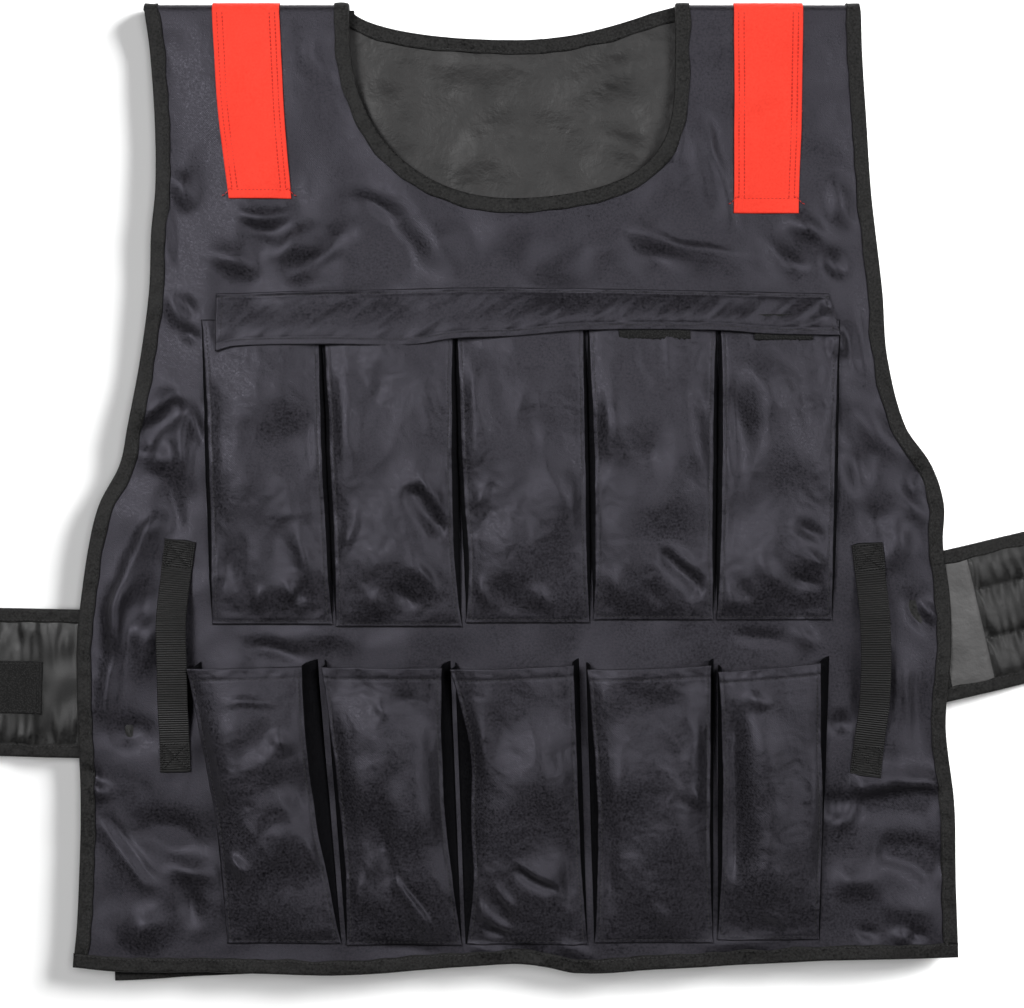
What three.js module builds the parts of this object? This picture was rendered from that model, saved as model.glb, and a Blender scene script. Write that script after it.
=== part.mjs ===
// A weighted vest, lying flat on its back with its shoulders towards +Y.
// The floor is z = 0, and the origin is on the floor under the middle of the back panel.
import * as THREE from "three";

// Cloth and clearances, in millimetres.
const CLOTH = 1.2;
const TAPE = 1;
const WEBBING = 1.5;
const SEAM_GAP = 0.3;

// The vest's main sizes.
const VEST_LENGTH = 642;
const HALF_WIDTH = 292;
const SHOULDER_Y = 321;
const NECK_HALF_WIDTH = 110;
const FRONT_NECK_DEPTH = 131;
const BACK_NECK_DEPTH = 24;
const BODY_GAP = 8.5;
const HEM_DIP = 5;
const BINDING_WIDTH = 8.7;
const FOLD_RISE = 5;
const HEM_RAMP = 30;

// What is sewn on the front.
const STRIP_WIDTH = 44;
const STRIP_LENGTH = 130;
const POCKET_ROW_WIDTH = 420;
const UPPER_POCKET_LENGTH = 203;
const UPPER_POCKET_DEPTH = 8;
const LOWER_POCKET_LENGTH = 186;
const LOWER_POCKET_DEPTH = 14;
const FLAP_LENGTH = 31;
const FASTENER_LENGTH = 17;
const FASTENER_PEEK = 4;
const HANDLE_WIDTH = 20;
const HANDLE_LENGTH = 154;
const HANDLE_RISE = 9;
const HANDLE_END = 18;

// The side belts.
const BELT_WIDTH = 97;
const BELT_FREE_LENGTH = 180;
const BELT_SEWN_LENGTH = 45;
const BELT_THICKNESS = 5;
const BELT_EDGE = 2;
const BELT_PATCH_LENGTH = 100;
const BELT_PATCH_WIDTH = 35;
const BELT_PATCH_OFFSET = 3;

// Levels of the two panels' middle surfaces, and the roll of cloth that joins them at the shoulders.
const BACK_LEVEL = TAPE + SEAM_GAP + CLOTH / 2;
const FRONT_LEVEL = BACK_LEVEL + CLOTH + BODY_GAP;
const FRONT_TOP = FRONT_LEVEL + CLOTH / 2;
const ROLL_RADIUS = (FRONT_LEVEL - BACK_LEVEL) / 2;
const ROLL_LINE_Y = SHOULDER_Y - ROLL_RADIUS - CLOTH / 2;
const ROLL_STEPS = 4;
const HEM_Y = SHOULDER_Y - VEST_LENGTH;

// The level of a share of the vest's length below the shoulders.
const levelAt = (down) => SHOULDER_Y - down * VEST_LENGTH;

// How the side edges run: down is a share of the vest's length, left and right of its half width.
const OUTLINE = [
  { down: 0, left: 0.838, right: 0.792 },
  { down: 0.05, left: 0.824, right: 0.797 },
  { down: 0.12, left: 0.813, right: 0.806 },
  { down: 0.19, left: 0.811, right: 0.816 },
  { down: 0.24, left: 0.821, right: 0.828 },
  { down: 0.3, left: 0.826, right: 0.843 },
  { down: 0.37, left: 0.847, right: 0.855 },
  { down: 0.44, left: 0.875, right: 0.896 },
  { down: 0.48, left: 0.894, right: 0.955 },
  { down: 0.52, left: 0.939, right: 0.983 },
  { down: 0.56, left: 0.962, right: 0.981 },
  { down: 0.62, left: 0.982, right: 0.998 },
  { down: 0.67, left: 0.991, right: 1 },
  { down: 0.75, left: 0.988, right: 0.988 },
  { down: 0.83, left: 0.982, right: 1.007 },
  { down: 0.9, left: 0.985, right: 1.01 },
  { down: 0.96, left: 0.991, right: 1.014 },
  { down: 1, left: 1, right: 1.016 },
];

// How far the hems hang below a straight line: across is a share of the half width, the rest of HEM_DIP.
const HEMS = [
  { across: -1, front: 0, back: 0.4 },
  { across: -0.886, front: 0.54, back: 1.85 },
  { across: -0.72, front: 0.54, back: 1.2 },
  { across: -0.386, front: 0.94, back: 0.5 },
  { across: -0.2, front: 0.26, back: -0.3 },
  { across: 0, front: -0.54, back: -1.1 },
  { across: 0.075, front: -0.14, back: -0.8 },
  { across: 0.15, front: 0.72, back: 0.2 },
  { across: 0.336, front: 0.14, back: -0.4 },
  { across: 0.52, front: -0.4, back: -1 },
  { across: 0.745, front: -1.06, back: -1.6 },
  { across: 1.016, front: -1.34, back: -1.8 },
];

// A neckline's powers: 1 = |across|^2 + |down|^power, with its own power on each side.
const FRONT_NECK = { depth: FRONT_NECK_DEPTH, left: 2.7, right: 5.6 };
const BACK_NECK = { depth: BACK_NECK_DEPTH, left: 2, right: 0.9 };
const NECK_STEPS = [0, 0.2, 0.4, 0.6, 0.76, 0.88, 0.96, 1];

// Folds of the front panel, each a ridge (rise over 0) or a valley between two points.
// x is a share of the half width, down and reach of the vest's length, and rise of FOLD_RISE.
const FOLDS = [
  { name: "chest tent", x: [-0.34, 0.36], down: [0.257, 0.255], reach: 0.034, rise: 0.5 },
  { name: "left chest valley", x: [-0.46, -0.36], down: [0.2, 0.255], reach: 0.018, rise: -0.3 },
  { name: "left armhole valley", x: [-0.84, -0.78], down: [0.46, 0.43], reach: 0.013, rise: -0.3 },
  { name: "left armhole ridge", x: [-0.79, -0.77], down: [0.46, 0.5], reach: 0.013, rise: 0.6 },
  { name: "left side ridge", x: [-0.915, -0.925], down: [0.6, 0.75], reach: 0.02, rise: 0.8 },
  { name: "left side pinch", x: [-0.98, -0.93], down: [0.81, 0.835], reach: 0.013, rise: 0.5 },
  { name: "lower left crease", x: [-0.94, -0.82], down: [0.86, 0.91], reach: 0.014, rise: -0.3 },
  { name: "lower left puff", x: [-0.92, -0.84], down: [0.935, 0.95], reach: 0.022, rise: 0.7 },
  { name: "right armhole ridge", x: [0.83, 0.88], down: [0.42, 0.47], reach: 0.018, rise: 0.6 },
  { name: "right side crease", x: [0.95, 0.95], down: [0.6, 0.65], reach: 0.014, rise: 0.6 },
  { name: "right arc fold", x: [0.84, 0.97], down: [0.835, 0.825], reach: 0.016, rise: 0.8 },
  { name: "right arc valley", x: [0.84, 0.97], down: [0.885, 0.895], reach: 0.016, rise: -0.3 },
  { name: "lower right puff", x: [0.84, 0.94], down: [0.95, 0.955], reach: 0.018, rise: 0.6 },
];

// Where something is sewn on, so the panel lies level: shares of the half width and of the length.
const LEVEL_AREAS = [
  { name: "pockets", left: -0.77, right: 0.82, top: 0.285, bottom: 1 },
  { name: "left handle", left: -0.85, right: -0.7, top: 0.53, bottom: 0.85 },
  { name: "right handle", left: 0.7, right: 0.91, top: 0.53, bottom: 0.85 },
  { name: "left strip", left: -0.76, right: -0.4, top: 0, bottom: 0.235 },
  { name: "right strip", left: 0.46, right: 0.7, top: 0, bottom: 0.25 },
];
const LEVEL_FADE = 9;

// Pockets: columns x are shares of the pocket row's half width, and y of the row's own length.
// The face lies between faceLeft and faceRight at the mouth, and is sewn down at left and right.
const UPPER_POCKETS = [
  { left: -0.973, faceLeft: -0.968, faceRight: -0.614, right: -0.606, bottomLeft: -0.951, bottomRight: -0.57, length: 1 },
  { left: -0.593, faceLeft: -0.586, faceRight: -0.194, right: -0.187, bottomLeft: -0.555, bottomRight: -0.162, length: 1.008 },
  { left: -0.171, faceLeft: -0.165, faceRight: 0.219, right: 0.225, bottomLeft: -0.143, bottomRight: 0.244, length: 0.995 },
  { left: 0.245, faceLeft: 0.251, faceRight: 0.638, right: 0.645, bottomLeft: 0.263, bottomRight: 0.635, length: 0.985 },
  { left: 0.664, faceLeft: 0.67, faceRight: 1.026, right: 1.032, bottomLeft: 0.654, bottomRight: 1.016, length: 0.985 },
];
const LOWER_POCKETS = [
  { left: -1.01, faceLeft: -1.02, faceRight: -0.66, right: -0.604, bottomLeft: -0.9, bottomRight: -0.542, length: 0.985 },
  { left: -0.585, faceLeft: -0.602, faceRight: -0.222, right: -0.187, bottomLeft: -0.53, bottomRight: -0.157, length: 0.995 },
  { left: -0.172, faceLeft: -0.186, faceRight: 0.197, right: 0.219, bottomLeft: -0.146, bottomRight: 0.243, length: 0.99 },
  { left: 0.237, faceLeft: 0.238, faceRight: 0.629, right: 0.64, bottomLeft: 0.262, bottomRight: 0.641, length: 0.985 },
  { left: 0.652, faceLeft: 0.654, faceRight: 0.972, right: 1.01, bottomLeft: 0.654, bottomRight: 0.968, length: 0.975 },
];
const UPPER_MOUTH_Y = levelAt(0.3287);
const LOWER_MOUTH_Y = levelAt(0.6838);

// A pocket's swell down its length: down is a share of the pocket's length, depth of its full depth,
// and splay says how much of the face's own width at the mouth is left.
const UPPER_SWELL = [
  { down: 0, depth: 0.72, splay: 1 },
  { down: 0.18, depth: 0.86, splay: 0.8 },
  { down: 0.42, depth: 1, splay: 0.6 },
  { down: 0.66, depth: 0.95, splay: 0.4 },
  { down: 0.85, depth: 0.6, splay: 0.2 },
  { down: 1, depth: 0, splay: 0 },
];
const LOWER_SWELL = [
  { down: 0, depth: 1, splay: 1 },
  { down: 0.18, depth: 0.92, splay: 0.8 },
  { down: 0.42, depth: 0.74, splay: 0.55 },
  { down: 0.66, depth: 0.5, splay: 0.3 },
  { down: 0.85, depth: 0.24, splay: 0.12 },
  { down: 1, depth: 0, splay: 0 },
];
const FACE_STEPS = [0, 0.22, 0.5, 0.78, 1];
const FACE_CROWN = 0.14;
const FACE_INSET = 3;
const FACE_SPLAY = 0.9;

// The flap's sewn line, the share of its length over which it climbs, and the pockets' depth under it.
const FLAP_TOP_Y = levelAt(0.2975);
const FLAP_CLIMB = 0.5;
const FLAP_OVER_DEPTH = 0.8;

// The flap's lower edge: across is a share of the pocket row's half width, drop of the flap's length.
const FLAP_EDGE = [
  { across: -0.94, drop: 1.28 },
  { across: -0.85, drop: 1.2 },
  { across: -0.6, drop: 1.14 },
  { across: -0.33, drop: 1.14 },
  { across: -0.17, drop: 1.02 },
  { across: 0.23, drop: 0.85 },
  { across: 0.64, drop: 0.85 },
  { across: 0.83, drop: 0.92 },
  { across: 1.04, drop: 0.98 },
];
const FLAP_STEPS = [0, 0.22, 0.5, 1];
const FLAP_COLUMNS = 20;

// Fastener strips that show under the flap: x is a share of the pocket row's half width.
const FASTENERS = [
  { name: "flap_fastener_left", pocket: 3, from: 0.34, to: 0.565, bottom: 0.97 },
  { name: "flap_fastener_right", pocket: 4, from: 0.765, to: 0.955, bottom: 1 },
];

// The red strips: x is a share of the half width at the shoulder and at the lower end.
const STRIPS = [
  { name: "shoulder_strip_left", topX: -0.606, bottomX: -0.575, length: 1 },
  { name: "shoulder_strip_right", topX: 0.586, bottomX: 0.582, length: 1.077 },
];
const STRIP_STEPS = 6;

// The handles' middle lines: top is a share of the vest's length, x of its half width, and the
// steps and the climb at each end are shares of the handle's length.
const HANDLES = [
  { name: "handle_left", top: 0.5576, line: [-0.757, -0.771, -0.775, -0.773, -0.769] },
  { name: "handle_right", top: 0.5607, line: [0.809, 0.822, 0.825, 0.817, 0.805] },
];
const HANDLE_DOWN = [0, 0.12, 0.17, 0.26, 0.38, 0.5, 0.62, 0.74, 0.83, 0.88, 1];
const HANDLE_CLIMB = 0.25;

// The belts: side is the way that they go, down where the belt's middle line leaves the vest as a
// share of its length, tilt its turn upwards in degrees, and lobes its sewn channels.
const BELTS = [
  { name: "left", side: -1, down: 0.7072, tilt: 1, lobes: 1 },
  { name: "right", side: 1, down: 0.6464, tilt: 13, lobes: 3 },
];
// Over the vest's back tape a belt climbs, and past it falls to the floor: shares of its free length.
const BELT_CLIMB = { from: -0.24, over: 0.11 };
const BELT_FALL = { from: 0.08, over: 0.2 };
const BELT_END_FADE = 0.1;
const CHANNEL_DIP = 0.2;
const PATCH_SHARES = [0.14, 0.2, 0.3, 0.42, 0.56, 0.7];
const BELT_STEPS = [-0.25, -0.21, -0.17, -0.13, 0.08, 0.16, 0.22, 0.28, 0.42, 0.56, 0.7, 0.85, 0.94, 1];
const BELT_COLUMNS = [-1, -0.78, -0.52, -0.26, 0, 0.26, 0.52, 0.78, 1];

const COLOURS = {
  cloth: 0x2f2d34,
  lining: 0x504f50,
  tape: 0x35332f,
  red: 0xf2483c,
  webbing: 0x1f1e1c,
  belt: 0x3a3a3a,
  fastener: 0x242424,
};

const vec = (x, y, z) => new THREE.Vector3(x, y, z);
const clamp = THREE.MathUtils.clamp;
const mix = THREE.MathUtils.lerp;
const smooth = (t) => THREE.MathUtils.smoothstep(t, 0, 1);

// The value of a column at a place, on a smooth line through the table's rows.
function read(table, key, column, at) {
  const last = table.length - 1;
  const place = clamp(at, table[0][key], table[last][key]);
  const found = table.findIndex((row) => row[key] >= place);
  const i = Math.max(1, found);
  const [a, b] = [table[i - 1], table[i]];
  const before = table[Math.max(0, i - 2)];
  const after = table[Math.min(last, i + 1)];
  const width = b[key] - a[key];
  const t = (place - a[key]) / width;
  const slopeA = ((b[column] - before[column]) / (b[key] - before[key])) * width;
  const slopeB = ((after[column] - a[column]) / (after[key] - a[key])) * width;
  const t2 = t * t;
  const t3 = t2 * t;
  return (
    (2 * t3 - 3 * t2 + 1) * a[column] +
    (t3 - 2 * t2 + t) * slopeA +
    (3 * t2 - 2 * t3) * b[column] +
    (t3 - t2) * slopeB
  );
}

// A wall of cloth: pairs of points on its two sides, joined by cells, and closed round its edges.
class Sheet {
  constructor() {
    this.outer = [];
    this.inner = [];
    this.faces = [];
  }

  point(outer, inner) {
    this.outer.push(outer);
    this.inner.push(inner);
    return this.outer.length - 1;
  }

  cell(a, b, c, d) {
    this.faces.push([a, b, c], [a, c, d]);
  }

  // A grid of cells over rows of point numbers, all as long as each other.
  grid(rows) {
    for (let r = 1; r < rows.length; r += 1) {
      for (let c = 1; c < rows[r].length; c += 1) {
        this.cell(rows[r - 1][c - 1], rows[r][c - 1], rows[r][c], rows[r - 1][c]);
      }
    }
    return this;
  }

  geometry() {
    const count = this.outer.length;
    const triangles = [];
    const edges = new Set(this.faces.flatMap(([a, b, c]) => [`${a} ${b}`, `${b} ${c}`, `${c} ${a}`]));
    for (const [a, b, c] of this.faces) {
      triangles.push(a, b, c, count + c, count + b, count + a);
      for (const [from, to] of [[a, b], [b, c], [c, a]]) {
        if (!edges.has(`${to} ${from}`)) {
          triangles.push(to, from, count + from, to, count + from, count + to);
        }
      }
    }
    const points = [...this.outer, ...this.inner];
    const geometry = new THREE.BufferGeometry().setFromPoints(points);
    geometry.setIndex(volumeOf(points, triangles) < 0 ? triangles.reverse() : triangles);
    geometry.computeVertexNormals();
    return geometry;
  }
}

// Six times the signed volume inside a list of triangles.
function volumeOf(points, triangles) {
  let sum = 0;
  for (let i = 0; i < triangles.length; i += 3) {
    const [a, b, c] = [points[triangles[i]], points[triangles[i + 1]], points[triangles[i + 2]]];
    sum += a.dot(b.clone().cross(c));
  }
  return sum;
}

// A wall of even thickness on both sides of a sheet of middle points.
function thicken(middle, rows, thickness) {
  const normals = middle.map(() => vec(0, 0, 0));
  const plan = new Sheet();
  rows.forEach((part) => plan.grid(part));
  for (const face of plan.faces) {
    const [a, b, c] = face.map((i) => middle[i]);
    const normal = b.clone().sub(a).cross(c.clone().sub(a));
    face.forEach((i) => normals[i].add(normal));
  }
  middle.forEach((point, i) => {
    const step = normals[i].normalize().multiplyScalar(thickness / 2);
    plan.point(point.clone().add(step), point.clone().sub(step));
  });
  return plan;
}

// How high a fold table lifts the front panel at a place, none of it where something is sewn on.
function foldHeight(x, y) {
  const down = SHOULDER_Y - y;
  let height = 0;
  for (const fold of FOLDS) {
    const from = new THREE.Vector2(fold.x[0] * HALF_WIDTH, fold.down[0] * VEST_LENGTH);
    const to = new THREE.Vector2(fold.x[1] * HALF_WIDTH, fold.down[1] * VEST_LENGTH);
    const along = to.clone().sub(from);
    const place = new THREE.Vector2(x, down);
    const t = clamp(place.clone().sub(from).dot(along) / along.lengthSq(), 0, 1);
    const away = place.distanceTo(from.add(along.multiplyScalar(t)));
    height += FOLD_RISE * fold.rise * Math.exp(-((away / (fold.reach * VEST_LENGTH)) ** 2));
  }
  for (const area of LEVEL_AREAS) {
    const outside = Math.max(
      area.left * HALF_WIDTH - x,
      x - area.right * HALF_WIDTH,
      area.top * VEST_LENGTH - down,
      down - area.bottom * VEST_LENGTH,
    );
    height *= smooth(outside / LEVEL_FADE);
  }
  const toEdge = Math.min(x - sideX(-1, down / VEST_LENGTH), sideX(1, down / VEST_LENGTH) - x);
  const free = Math.min(ROLL_LINE_Y - y, toEdge - 1.25 * BINDING_WIDTH);
  return height * smooth(free / LEVEL_FADE);
}

// The edge's place across at a share of the length.
function sideX(side, down) {
  return side < 0
    ? -HALF_WIDTH * read(OUTLINE, "down", "left", down)
    : HALF_WIDTH * read(OUTLINE, "down", "right", down);
}

// The neckline's place across at a level: none below its lowest point.
function neckX(neck, side, y) {
  const down = (SHOULDER_Y - y) / neck.depth;
  const power = side < 0 ? neck.left : neck.right;
  return side * NECK_HALF_WIDTH * Math.sqrt(Math.max(0, 1 - Math.min(1, Math.max(0, down)) ** power));
}

// How far a hem is moved down at a place across, near the bottom only.
function hemShift(column, x, y) {
  const nearHem = clamp((HEM_Y + HEM_RAMP - y) / HEM_RAMP, 0, 1);
  return HEM_DIP * nearHem * read(HEMS, "across", column, x / HALF_WIDTH);
}

// Levels from the top to the hem: the neckline's own steps, then even steps.
function levels(top, neck, spacing) {
  const necks = NECK_STEPS.map((share) => SHOULDER_Y - share * neck.depth).filter((y) => y < top - 1);
  const low = SHOULDER_Y - neck.depth;
  const steps = Math.round((low - HEM_Y) / spacing);
  const rest = Array.from({ length: steps }, (_, i) => low + ((HEM_Y - low) * (i + 1)) / steps);
  return [top, ...necks, ...rest];
}

// A panel's middle surface in two halves that meet on the centre line below the neck.
// lead gives the points that come before the first level, such as the roll over the shoulder.
function panel({ neck, hem, columns, spacing, top, lead, level }) {
  const middle = [];
  const halves = [];
  const centre = new Map();
  for (const side of [-1, 1]) {
    const rows = [];
    for (const turn of lead) {
      const [outer, inner] = [sideX(side, 0), neckX(neck, side, top)];
      rows.push(columns.map((share) => middle.push(turn(mix(outer, inner, share))) - 1));
    }
    for (const y of levels(top, neck, spacing)) {
      const outer = sideX(side, (SHOULDER_Y - y) / VEST_LENGTH);
      const inner = neckX(neck, side, y);
      rows.push(
        columns.map((share) => {
          const x = mix(outer, inner, share);
          if (share === 1 && inner === 0 && centre.has(y)) return centre.get(y);
          const index = middle.push(vec(x, y - hemShift(hem, x, y), level(x, y))) - 1;
          if (share === 1 && inner === 0) centre.set(y, index);
          return index;
        }),
      );
    }
    halves.push(side < 0 ? rows : rows.map((row) => row.toReversed()));
  }
  return { middle, halves };
}

// The roll of the front panel over the shoulder, from its sewn end to the roll line.
const ROLL = Array.from({ length: ROLL_STEPS }, (_, i) => {
  const angle = Math.PI * (1 - i / ROLL_STEPS);
  return { y: ROLL_LINE_Y + ROLL_RADIUS * Math.sin(angle), z: FRONT_LEVEL - ROLL_RADIUS * (1 - Math.cos(angle)), angle };
});

const frontPlan = panel({
  neck: FRONT_NECK,
  hem: "front",
  columns: [0, 0.038, 0.08, 0.13, 0.19, 0.26, 0.36, 0.5, 0.66, 0.83, 1],
  spacing: 17,
  top: ROLL_LINE_Y,
  lead: ROLL.map((turn) => (x) => vec(x, turn.y, turn.z)),
  level: (x, y) => FRONT_LEVEL + foldHeight(x, y),
});
const backPlan = panel({
  neck: BACK_NECK,
  hem: "back",
  columns: [0, 0.12, 0.5, 1],
  spacing: 50,
  top: ROLL_LINE_Y - SEAM_GAP,
  lead: [],
  level: () => BACK_LEVEL,
});
const front = thicken(frontPlan.middle, frontPlan.halves, CLOTH);
const back = thicken(backPlan.middle, backPlan.halves, CLOTH);

// The front panel's own flat triangles, seen from above, give its middle height at any place.
const flatFaces = front.faces.filter((face) =>
  face.every((i) => frontPlan.middle[i].y <= ROLL_LINE_Y + 1e-6 && frontPlan.middle[i].z > BACK_LEVEL + 1),
);
function frontMiddle(x, y) {
  for (const face of flatFaces) {
    const [a, b, c] = face.map((i) => frontPlan.middle[i]);
    const area = (b.x - a.x) * (c.y - a.y) - (c.x - a.x) * (b.y - a.y);
    const u = ((x - a.x) * (c.y - a.y) - (c.x - a.x) * (y - a.y)) / area;
    const v = ((b.x - a.x) * (y - a.y) - (x - a.x) * (b.y - a.y)) / area;
    if (u >= -1e-6 && v >= -1e-6 && u + v <= 1 + 1e-6) return a.z + u * (b.z - a.z) + v * (c.z - a.z);
  }
  return FRONT_LEVEL;
}
const frontHeight = (x, y) => frontMiddle(x, y) + CLOTH / 2;

// A tape folded over an edge: each station has the edge point, a point inwards on the cloth, and the way up.
function binding(stations, cloth = CLOTH) {
  const sheet = new Sheet();
  const near = cloth / 2 + SEAM_GAP;
  const far = near + TAPE;
  const rows = stations.map(({ edge, inward, up }) => {
    const at = (along, level) => edge.clone().addScaledVector(inward, along).addScaledVector(up, level);
    return [
      sheet.point(at(BINDING_WIDTH, far), at(BINDING_WIDTH, near)),
      sheet.point(at(-SEAM_GAP - TAPE, far), at(-SEAM_GAP, near)),
      sheet.point(at(-SEAM_GAP - TAPE, -far), at(-SEAM_GAP, -near)),
      sheet.point(at(BINDING_WIDTH, -far), at(BINDING_WIDTH, -near)),
    ];
  });
  return sheet.grid(rows);
}

// Stations along points of an edge; side says on which hand the cloth lies, seen along the edge.
function stationsAlong(points, side, height) {
  return points.map((point, i) => {
    const ahead = points[Math.min(points.length - 1, i + 1)];
    const behind = points[Math.max(0, i - 1)];
    const way = ahead.clone().sub(behind).setZ(0).normalize();
    const inward = vec(-way.y * side, way.x * side, 0);
    const inner = point.clone().addScaledVector(inward, BINDING_WIDTH);
    inner.z = height(inner.x, inner.y);
    const slope = inner.sub(point).normalize();
    const up = way.clone().cross(slope).multiplyScalar(side).normalize();
    return { edge: point.clone(), inward: slope, up };
  });
}

// A tape's path without the ends that other tapes take.
function trimmed(points, fromStart, fromEnd) {
  const out = points.map((point) => point.clone());
  const pull = (end, next, length) => {
    const way = next.clone().sub(end).normalize();
    end.addScaledVector(way, length);
  };
  pull(out[0], out[1], fromStart);
  pull(out[out.length - 1], out[out.length - 2], fromEnd);
  return out;
}

// The points of a half's outer edge, and of its neckline, from the roll line down.
function edgeOf(plan, side, column) {
  const rows = side < 0 ? plan.halves[0] : plan.halves[1].map((row) => row.toReversed());
  return rows.map((row) => plan.middle[column < 0 ? row.at(-1) : row[0]]);
}

// The roll's stations for a tape at a place across, with the cloth lying towards one side.
function rollStations(x, towards) {
  return ROLL.map(({ y, z, angle }) => ({
    edge: vec(x, y, z),
    inward: vec(towards, 0, 0),
    up: vec(0, Math.sin(angle), Math.cos(angle)),
  }));
}

const TAPE_END = BINDING_WIDTH + SEAM_GAP;
const TAPE_TOP = 6 * SEAM_GAP;
const CORNER = TAPE + 2 * SEAM_GAP;

function frontSideBinding(side) {
  const edge = edgeOf(frontPlan, side, 1).slice(ROLL_STEPS);
  const flat = stationsAlong(trimmed(edge, 0, TAPE_END), -side, frontMiddle);
  flat[0] = { edge: edge[0], inward: vec(-side, 0, 0), up: vec(0, 0, 1) };
  return binding([...rollStations(sideX(side, 0), -side), ...flat]);
}

function frontHemBinding() {
  const last = [...frontPlan.halves[0].at(-1), ...frontPlan.halves[1].at(-1).slice(1)];
  const points = last.map((i) => frontPlan.middle[i]);
  return binding(stationsAlong(trimmed(points, -CORNER + SEAM_GAP, -CORNER + SEAM_GAP), 1, frontMiddle));
}

function neckPath(plan, skip) {
  const inner = (side) => edgeOf(plan, side, -1).slice(skip);
  const low = (points) => points.filter((point, i) => i === 0 || points[i - 1].x !== 0);
  return [...low(inner(-1)), ...low(inner(1)).toReversed().slice(1)];
}

function frontNeckBinding() {
  const path = neckPath(frontPlan, ROLL_STEPS);
  const middle = stationsAlong(path, -1, frontMiddle);
  const ends = [-1, 1].map((side) => rollStations(neckX(FRONT_NECK, side, ROLL_LINE_Y), side));
  return binding([...ends[0], ...middle, ...ends[1].toReversed()]);
}

function backNeckBinding() {
  return binding(stationsAlong(neckPath(backPlan, 0), -1, () => BACK_LEVEL));
}

function backSideBinding(side) {
  const edge = edgeOf(backPlan, side, 1);
  return binding(stationsAlong(trimmed(edge, TAPE_TOP, TAPE_END), -side, () => BACK_LEVEL));
}

function backHemBinding() {
  const last = [...backPlan.halves[0].at(-1), ...backPlan.halves[1].at(-1).slice(1)];
  const points = last.map((i) => backPlan.middle[i]);
  return binding(stationsAlong(trimmed(points, -CORNER + SEAM_GAP, -CORNER + SEAM_GAP), 1, () => BACK_LEVEL));
}

// A red strip down the chest that goes round the roll of the shoulder.
function shoulderStrip({ topX, bottomX, length }) {
  const sheet = new Sheet();
  const lift = CLOTH / 2 + SEAM_GAP;
  const across = [-0.5, 0, 0.5].map((share) => share * STRIP_WIDTH);
  const rows = ROLL.map(({ y, z, angle }) => {
    const up = vec(0, Math.sin(angle), Math.cos(angle));
    return across.map((offset) => {
      const middle = vec(topX * HALF_WIDTH + offset, y, z);
      return sheet.point(
        middle.clone().addScaledVector(up, lift + TAPE),
        middle.clone().addScaledVector(up, lift),
      );
    });
  });
  for (let i = 0; i <= STRIP_STEPS; i += 1) {
    const y = mix(ROLL_LINE_Y, SHOULDER_Y - length * STRIP_LENGTH, i / STRIP_STEPS);
    const x = HALF_WIDTH * mix(topX, bottomX, smooth(i / STRIP_STEPS));
    rows.push(
      across.map((offset) => {
        const low = frontHeight(x + offset, y) + SEAM_GAP;
        return sheet.point(vec(x + offset, y, low + TAPE), vec(x + offset, y, low));
      }),
    );
  }
  return sheet.grid(rows);
}

// One pocket: a face on two gussets, sewn to the panel at its sides and bottom and open at the top.
function pocket(shape, swell, mouthY, fullLength, fullDepth) {
  const half = POCKET_ROW_WIDTH / 2;
  const sheet = new Sheet();
  const base = FRONT_TOP + SEAM_GAP;
  const rows = swell.map(({ down, depth, splay }) => {
    const y = mouthY - down * shape.length * fullLength;
    const left = half * mix(shape.left, shape.bottomLeft, down);
    const right = half * mix(shape.right, shape.bottomRight, down);
    const faceLeft = mix(left + FACE_INSET, half * shape.faceLeft, splay * FACE_SPLAY);
    const faceRight = mix(right - FACE_INSET, half * shape.faceRight, splay * FACE_SPLAY);
    const high = base + CLOTH + depth * fullDepth;
    const face = FACE_STEPS.map((share) => {
      const crown = FACE_CROWN * fullDepth * depth * (1 - (2 * share - 1) ** 2);
      const x = mix(faceLeft, faceRight, share);
      const inset = CLOTH * (1 - 2 * share) * Math.min(1, depth * 2);
      return sheet.point(vec(x, y, high + crown), vec(x + inset, y, high + crown - CLOTH));
    });
    return [
      sheet.point(vec(left, y, base), vec(left + CLOTH, y, base)),
      ...face,
      sheet.point(vec(right, y, base), vec(right - CLOTH, y, base)),
    ];
  });
  return sheet.grid(rows);
}

// The height of an upper pocket's face at its mouth, over which the flap and fasteners lie.
const MOUTH_TOP = FRONT_TOP + SEAM_GAP + CLOTH + UPPER_POCKET_DEPTH * (FLAP_OVER_DEPTH + FACE_CROWN);

function fastener({ from, to, bottom }) {
  const half = POCKET_ROW_WIDTH / 2;
  const low = MOUTH_TOP + SEAM_GAP;
  const sheet = new Sheet();
  const bottomY = FLAP_TOP_Y - FLAP_LENGTH * bottom - FASTENER_PEEK;
  const rows = [bottomY + FASTENER_LENGTH, bottomY].map((y) =>
    [from * half, to * half].map((x) => sheet.point(vec(x, y, low + TAPE), vec(x, y, low))),
  );
  return sheet.grid(rows);
}

// The flap over the upper pockets: sewn along its top, then up and over the pockets' mouths.
function flap() {
  const half = POCKET_ROW_WIDTH / 2;
  const sheet = new Sheet();
  const sewn = FRONT_TOP + SEAM_GAP;
  const over = MOUTH_TOP + TAPE + 2 * SEAM_GAP;
  const [first, last] = [FLAP_EDGE[0].across, FLAP_EDGE.at(-1).across];
  const rows = FLAP_STEPS.map((step) =>
    Array.from({ length: FLAP_COLUMNS + 1 }, (_, i) => {
      const across = mix(first, last, i / FLAP_COLUMNS);
      const x = across * half;
      const y = FLAP_TOP_Y - step * FLAP_LENGTH * read(FLAP_EDGE, "across", "drop", across);
      const low = mix(sewn, over, smooth(step / FLAP_CLIMB));
      return sheet.point(vec(x, y, low + CLOTH), vec(x, y, low));
    }),
  );
  return sheet.grid(rows);
}

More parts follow.
